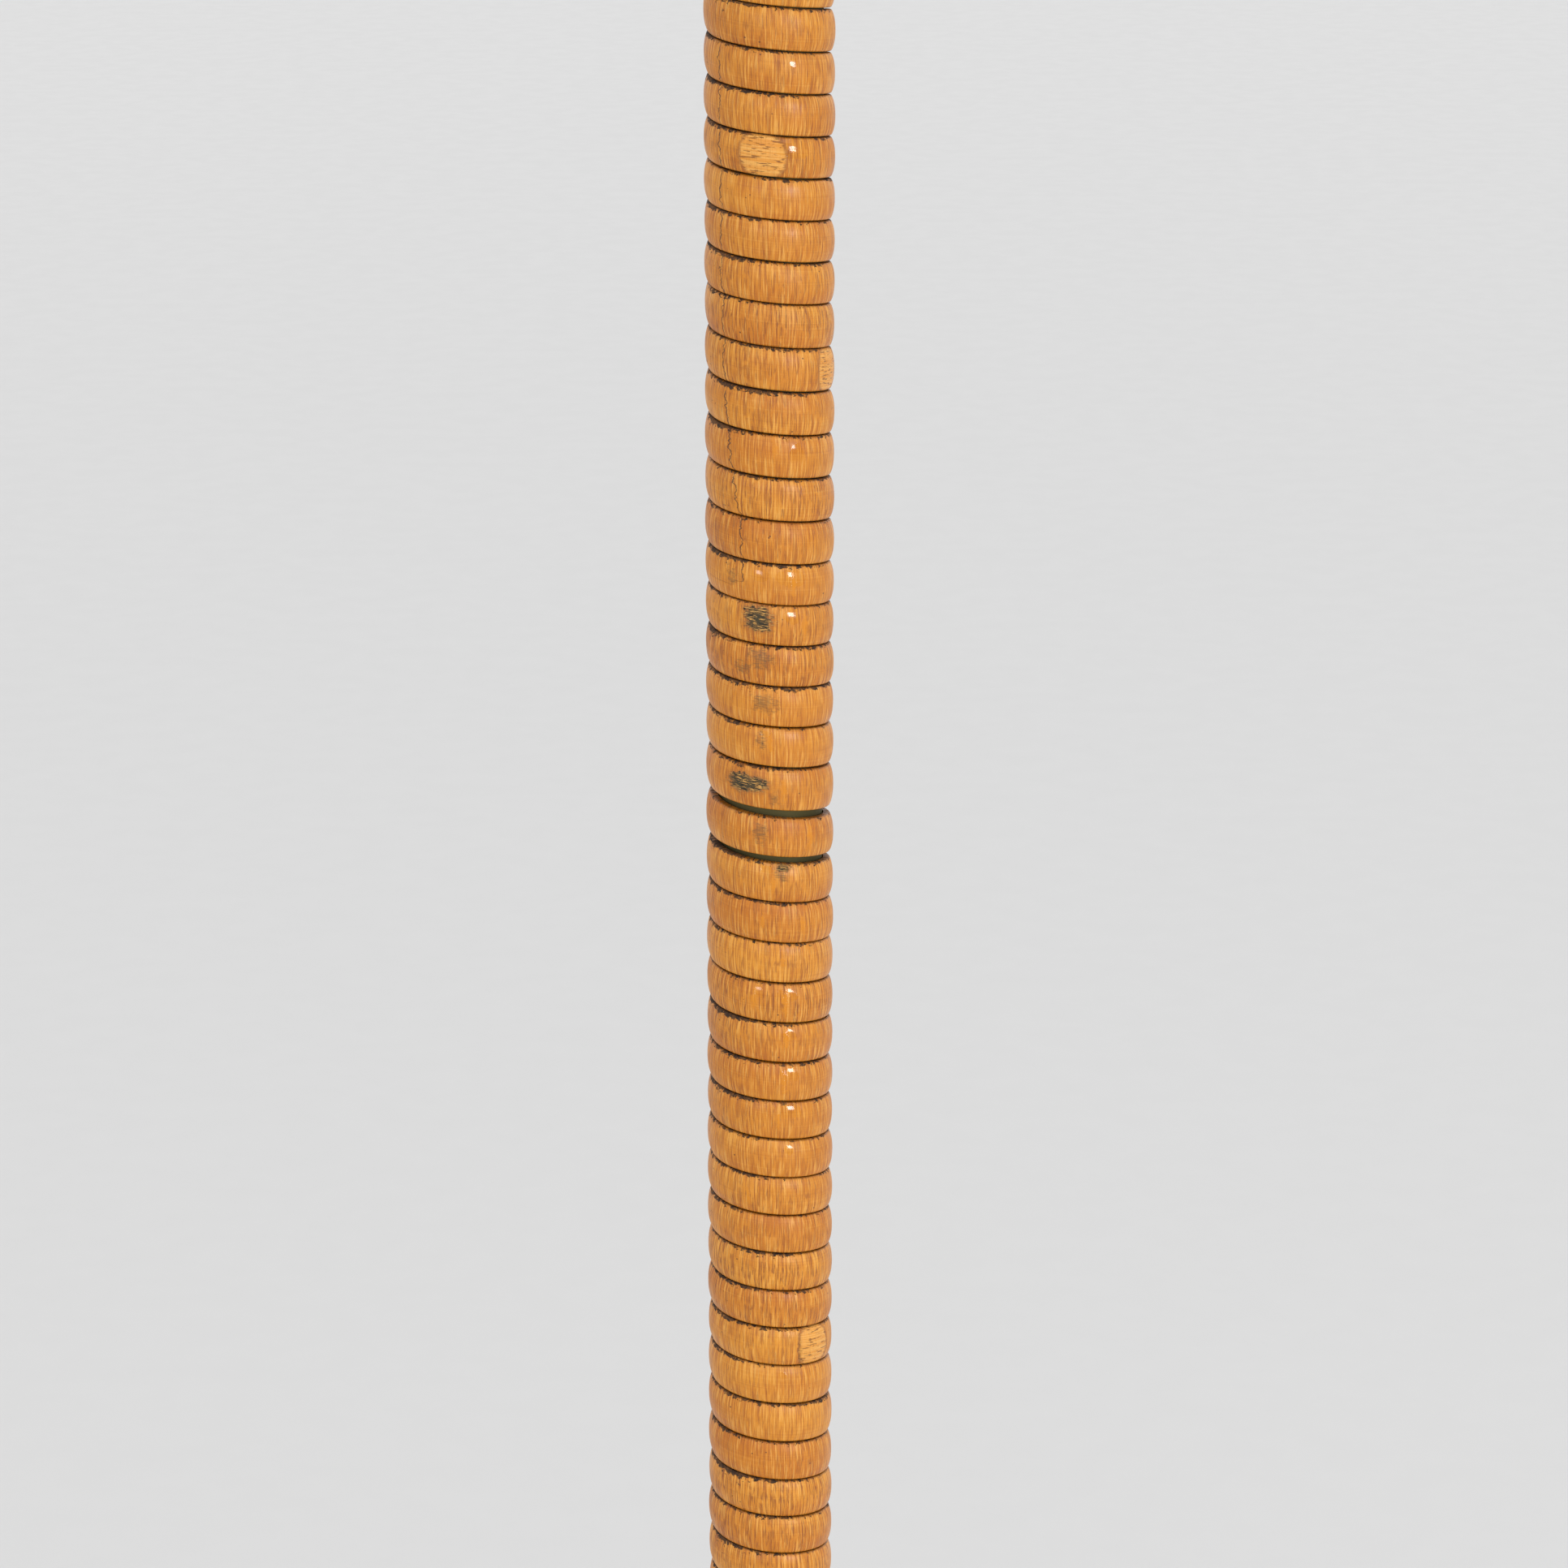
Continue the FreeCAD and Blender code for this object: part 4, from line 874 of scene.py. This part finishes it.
def lap_mesh(name, stations):
    """The flat overlap at the back of the shade: a narrow strip that follows its slope."""
    points, cloth = [], []
    for share, rise in LAP_SECTION:
        arc = share * LAP_HALF
        for radius, height in stations:
            out = radius + rise * LAP_RISE
            angle = arc / radius
            points.append((out * math.sin(angle), out * math.cos(angle), height))
            cloth.append((arc + LAP_ARC, height, 0.0))
    rows = len(stations)
    faces = []
    for step in range(len(LAP_SECTION) - 1):
        start = step * rows
        following = start + rows
        for row in range(rows - 1):
            faces.append((start + row, following + row, following + row + 1, start + row + 1))
    return mesh_object(name, points, faces, {"cloth": cloth})


def make_linen(bottom, crown, base, top_edge):
    """The linen over its stiff backing, with its lapped seam at the back."""
    rows = []
    for row in range(SHADE_ROWS + 1):
        share = row / SHADE_ROWS
        rows.append((bottom + (crown - bottom) * share, base + (top_edge - base) * share))
    inner = [(radius - SHADE_WALL, height) for radius, height in reversed(rows)]
    linen = band_mesh("linen_shade", rows + inner, SHADE_SEGMENTS)
    seam = lap_mesh("linen_seam", rows[LAP_END_ROWS:-LAP_END_ROWS])
    linen.data.set_sharp_from_angle(angle=math.radians(LINEN_SHARP))
    material = linen_material("shade_linen", tone(226, 213, 186), tone(234, 224, 202))
    for piece in (linen, seam):
        place_piece(piece, "shade_fabric", "shade", material)


def make_tapes(bottom, crown, base, top_edge):
    """The folded tapes over the shade's two edges."""
    material = linen_material("linen_tape", tone(212, 196, 162), tone(222, 208, 178))
    slope = (bottom - crown) / (top_edge - base)
    for name, node, facing in TAPES:
        edge = base if facing > 0 else top_edge
        front, back = [], []
        for share in TAPE_SHARES:
            up = edge + facing * share * TAPE_WIDTH
            swell = TAPE_SWELL * math.sin(math.pi * min(1.0, share * 1.2))
            radius = bottom - slope * (up - base) + TAPE_PROUD + swell
            front.append((radius, up))
            back.append((radius - TAPE_THICKNESS - TAPE_SWELL * (0.0 < share < 1.0), up))
        outline = front + back[::-1] if facing > 0 else back + front[::-1]
        trim = band_mesh(name, outline, SHADE_SEGMENTS)
        place_piece(trim, node, "shade", material)


def make_shade_cloth():
    bottom, base, top_edge = turned_sizes("shade_fabric")
    crown = turned_sizes("shade_top_hoop")[0] + SHADE_WALL + SHADE_PROUD
    make_linen(bottom, crown, base, top_edge)
    make_tapes(bottom, crown, base, top_edge)


def make_felt():
    """The glued felt: a soft, slightly rounded outer edge and a cut inner edge."""
    outer, _, top = turned_sizes("base_felt")
    width = outer - FELT_HOLE
    stations = [(FELT_HOLE + width * share, 0.0) for share in (0.0, 0.25, 0.5, 0.75, 0.99)]
    stations += [(outer, top * 0.35), (outer, top * 0.75), (outer - 0.5, top)]
    stations += [(FELT_HOLE + width * share, top) for share in (0.75, 0.5, 0.25, 0.0)]
    felt = band_mesh("felt_pad", stations, FELT_SEGMENTS)
    place_piece(felt, "base_felt", "stand", felt_material())


# ---- turned and bent pieces
FACE_MARGIN = 0.01  # points this close to the outer radius are on the outer face
KNURLS = 72
KNURL_DEPTH = 0.35
KNURL_POWER = 0.7  # makes the knurls' roots broad
KNURL_SEGMENTS = 6
RING_WIDTH = 5.82
RING_BEVEL = 0.8
HOLDER_THREAD = (2.0, 0.32)  # pitch and depth
HOLDER_THREAD_START = 14.0  # above the shell's foot
HOLDER_THREAD_END = 3.0  # below its mouth
HOLDER_PLAIN = 6.0
HOLDER_WALL = 0.7
HOLDER_MOUTH = 16.5
HOLDER_LIP = 2.0
HOLDER_ROLL = 0.3
HOLDER_SEGMENTS = 96
BULB_THREAD = (3.62, 0.75)
BULB_THREAD_END = 2.0  # below the cap's top
BULB_BEVEL = 1.3
BULB_WALL = 0.35
BULB_SEGMENTS = 72
WIRE = 1.6
WIRE_SIDES = 16
HOOP_SEGMENTS = 180
ARMS = 3
FITTER_EDGE = 28.0
WELD_SIZE = (1.9, 1.9, 1.55)
WELD_ROWS = 8
WELD_COLUMNS = 14
WELD_INNER = 0.6  # outside the fitter's edge
WELD_OUTER = 1.5  # inside the hoop's wire


def lathe(name, stations, segments, shift=None):
    """Turn an outline of (radius, height) in mm. shift(turn share, height, radius) moves points
    outwards."""
    points = []
    for step in range(segments):
        angle = TURN * step / segments
        for radius, height in stations:
            out = radius + (shift(step / segments, height, radius) if shift else 0.0)
            points.append((out * math.sin(angle), out * math.cos(angle), height))
    return mesh_object(name, points, ring_faces(segments, len(stations)))


def finish_piece(piece, node, body, material, sharp=35.0):
    piece.data.set_sharp_from_angle(angle=math.radians(sharp))
    place_piece(piece, node, body, material)


def rows_between(low, high, step):
    count = max(1, round((high - low) / step))
    return [low + (high - low) * index / count for index in range(count + 1)]


def thread_cut(turn, height, start, end, thread):
    """How far a thread moves a point outwards; it eases in and out over one pitch."""
    if not start < height < end:
        return 0.0
    pitch, depth = thread
    ease = min(1.0, (height - start) / pitch, (end - height) / pitch)
    return -depth * ease * (0.5 - 0.5 * math.cos(TURN * (height / pitch - turn)))


def make_shade_rings(material):
    """The knurled rings that clamp the shade."""
    for node, body in (("shade_ring_lower", "lower_ring"), ("shade_ring_upper", "upper_ring")):
        outer, bottom, top = turned_sizes(node)
        inner = outer - RING_WIDTH

        def knurl(turn, height, radius, outer=outer):
            if radius < outer - FACE_MARGIN:
                return 0.0
            return -KNURL_DEPTH * (0.5 - 0.5 * math.cos(TURN * KNURLS * turn)) ** KNURL_POWER

        stations = [(inner, bottom), (outer - RING_BEVEL, bottom), (outer, bottom + RING_BEVEL)]
        stations += [(outer, (bottom + top) / 2), (outer, top - RING_BEVEL)]
        stations += [(outer - RING_BEVEL, top), (inner, top)]
        ring = lathe(node + "_knurled", stations, KNURLS * KNURL_SEGMENTS, knurl)
        finish_piece(ring, node, body, material)


def make_holder_shell(material):
    """The lampholder's sleeve, with its thread and rolled mouth."""
    outer, bottom, top = turned_sizes("lampholder_shell")
    wall = HOLDER_WALL
    start, end = bottom + HOLDER_THREAD_START, top - HOLDER_THREAD_END

    def thread(turn, height, radius):
        if radius < outer - FACE_MARGIN:
            return 0.0
        return thread_cut(turn, height, start, end, HOLDER_THREAD)

    stations = [(outer - wall, bottom)]
    stations += [(outer, height) for height in (bottom, start - HOLDER_PLAIN)]
    stations += [(outer, height) for height in rows_between(start, end, HOLDER_THREAD[0] / 8)]
    stations += [(outer, top - HOLDER_LIP), (outer, top - wall)]
    stations += [(outer - wall * HOLDER_ROLL, top - wall * HOLDER_ROLL), (outer - wall, top)]
    stations += [(HOLDER_MOUTH, top), (HOLDER_MOUTH, top - wall), (outer - wall, top - wall)]
    shell = lathe("threaded_shell", stations, HOLDER_SEGMENTS, thread)
    finish_piece(shell, "lampholder_shell", "stand", material, 50.0)


def make_bulb_cap(material):
    """The rolled screw cap of the bulb."""
    outer, bottom, top = turned_sizes("bulb_cap")

    def thread(turn, height, radius):
        return thread_cut(turn, height, bottom + BULB_BEVEL, top - BULB_THREAD_END, BULB_THREAD)

    heights = rows_between(bottom + BULB_BEVEL, top, BULB_THREAD[0] / 12)
    stations = [(outer - BULB_BEVEL, bottom)] + [(outer, height) for height in heights]
    stations += [(outer - BULB_WALL, height) for height in heights[::-1]]
    stations += [(outer - BULB_BEVEL - BULB_WALL, bottom)]
    cap = lathe("rolled_cap", stations, BULB_SEGMENTS, thread)
    finish_piece(cap, "bulb_cap", "bulb", material, 60.0)


def wire_hoop(name, radius, height):
    stations = []
    for side in range(WIRE_SIDES):
        angle = TURN * side / WIRE_SIDES
        stations.append((radius + WIRE * math.cos(angle), height + WIRE * math.sin(angle)))
    return lathe(name, stations, HOOP_SEGMENTS)


def rod_mesh(name, start, end):
    """A straight round wire between two points, in mm."""
    axis = (end - start).normalized()
    across = axis.cross(Vector((0, 0, 1)))
    up = across.cross(axis)
    points = []
    for place in (start, end):
        for side in range(WIRE_SIDES):
            angle = TURN * side / WIRE_SIDES
            points.append(place + (across * math.cos(angle) + up * math.sin(angle)) * WIRE)
    faces = []
    for side in range(WIRE_SIDES):
        following = (side + 1) % WIRE_SIDES
        faces.append((side, following, following + WIRE_SIDES, side + WIRE_SIDES))
    faces += [tuple(range(WIRE_SIDES))[::-1], tuple(range(WIRE_SIDES, WIRE_SIDES * 2))]
    return mesh_object(name, points, faces)


def weld_mesh(name, centre):
    """A small smooth bead of metal where two wires are welded."""
    points, faces = [], []
    for row in range(WELD_ROWS + 1):
        fall = math.pi * row / WELD_ROWS
        for column in range(WELD_COLUMNS):
            angle = TURN * column / WELD_COLUMNS
            points.append((centre[0] + WELD_SIZE[0] * math.sin(fall) * math.cos(angle),
                           centre[1] + WELD_SIZE[1] * math.sin(fall) * math.sin(angle),
                           centre[2] + WELD_SIZE[2] * math.cos(fall)))
    for row in range(WELD_ROWS):
        here, below = row * WELD_COLUMNS, (row + 1) * WELD_COLUMNS
        for column in range(WELD_COLUMNS):
            following = (column + 1) % WELD_COLUMNS
            faces.append((here + column, below + column, below + following, here + following))
    return mesh_object(name, points, faces)


def make_shade_wires(material):
    """Round hoops, straight arms and their welds."""
    for node, name in (("shade_top_hoop", "upper_hoop"), ("shade_frame", "lower_hoop")):
        low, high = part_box(node)
        centre = (low.z + high.z) / 2 / MM
        radius = high.y / MM - WIRE
        hoop = wire_hoop(name, radius, centre)
        finish_piece(hoop, node, "shade", material)
    level = Vector((0.0, 0.0, centre))
    for arm in range(ARMS):
        angle = TURN * arm / ARMS
        way = Vector((math.cos(angle), math.sin(angle), 0.0))
        rod = rod_mesh(f"shade_arm_{arm}", way * FITTER_EDGE + level, way * radius + level)
        finish_piece(rod, "shade_frame", "shade", material)
        for end, place in (("inner", FITTER_EDGE + WELD_INNER), ("outer", radius - WELD_OUTER)):
            bead = weld_mesh(f"weld_{end}_{arm}", way * place + level)
            finish_piece(bead, "shade_frame", "shade", material)


# ---- stage and light
FLOOR_HALF = 30000
NEAR_PAPER = tone(221, 221, 221)
FAR_PAPER_PAINTED_LIGHT = tone(234, 234, 234)
PAPER_GRAIN = tone(216, 216, 216)
SKY_PAPER = tone(232, 232, 232)
WHITE = (1.0, 1.0, 1.0, 1.0)
WORLD_STRENGTH = 0.90
LIGHT_AIM = 700.0  # height on the stem that every light faces
# Soft boxes: degrees to the right of the camera, distance, height, width and height in mm, watts.
SOFT_BOXES = (
    ("key_box", 42, 2600, 1150, 520, 520, 15.5),
    ("fill_box", -17, 2600, 1150, 420, 420, 4.0),
    ("top_box", 20, 3200, 4200, 4000, 4000, 42.0),
)


def make_floor():
    """A wide pale floor whose tone rises a little with distance; the rise is painted light, paler where
    less lamp light reaches.
    """
    corners = [(-1, -1), (1, -1), (1, 1), (-1, 1)]
    points = [(x * FLOOR_HALF, y * FLOOR_HALF, 0) for x, y in corners]
    floor = mesh_object("floor", points, [(0, 1, 2, 3)], smooth=False)
    m = Material("studio_paper", Specular_IOR_Level=0.1)
    grain = m.noise(m.place(), (40.0,) * 3, detail=3.0)
    away = m.nodes.new("ShaderNodeVectorMath")
    away.operation = "LENGTH"
    m.links.new(m.place(), away.inputs[0])
    # painted light: the floor's tone is raised with distance from the stem
    base = m.mix(m.step(away.outputs["Value"], 0.5, 7.0), NEAR_PAPER, FAR_PAPER_PAINTED_LIGHT)
    base = m.mix(m.step(grain, 0.3, 0.7, 0.0, 0.15), base, PAPER_GRAIN)
    floor.data.materials.append(m.finish(Base_Color=base, Roughness=0.9))


def make_world():
    """Even white light. Rays from the camera see pale paper instead."""
    world = bpy.data.worlds.new("studio")
    world.use_nodes = True
    nodes, links = world.node_tree.nodes, world.node_tree.links
    background = nodes["Background"]
    background.inputs["Strength"].default_value = WORLD_STRENGTH
    seen = nodes.new("ShaderNodeLightPath")
    paper = nodes.new("ShaderNodeMix")
    paper.data_type = "RGBA"
    paper.inputs[MIX_FIRST].default_value = WHITE
    paper.inputs[MIX_SECOND].default_value = SKY_PAPER
    links.new(seen.outputs["Is Camera Ray"], paper.inputs["Factor"])
    links.new(paper.outputs[MIX_RESULT], background.inputs["Color"])
    bpy.context.scene.world = world


def make_light(name, degrees, distance, height, width, tall, power):
    """A soft box that faces the stem and that the camera doesn't see."""
    data = bpy.data.lights.new(name, "AREA")
    data.shape = "RECTANGLE"
    data.size = width * MM
    data.size_y = tall * MM
    data.energy = power
    lamp = bpy.data.objects.new(name, data)
    angle = math.radians(degrees)
    lamp.location = Vector((math.sin(angle) * distance, -math.cos(angle) * distance, height)) * MM
    lamp.rotation_mode = "QUATERNION"
    aim = Vector((0, 0, LIGHT_AIM)) * MM
    lamp.rotation_quaternion = (aim - lamp.location).to_track_quat("-Z", "Y")
    lamp.visible_camera = False
    bpy.context.scene.collection.objects.link(lamp)


_, winding_low, winding_high = turned_sizes("rattan_winding")
GROOVES = groove_table()

make_camera()
make_winding()
make_fibres()
make_shade_cloth()
make_felt()
dress_cad_nodes()
make_floor()
make_world()
for soft_box in SOFT_BOXES:
    make_light(*soft_box)

bpy.context.scene.view_settings.view_transform = "Standard"
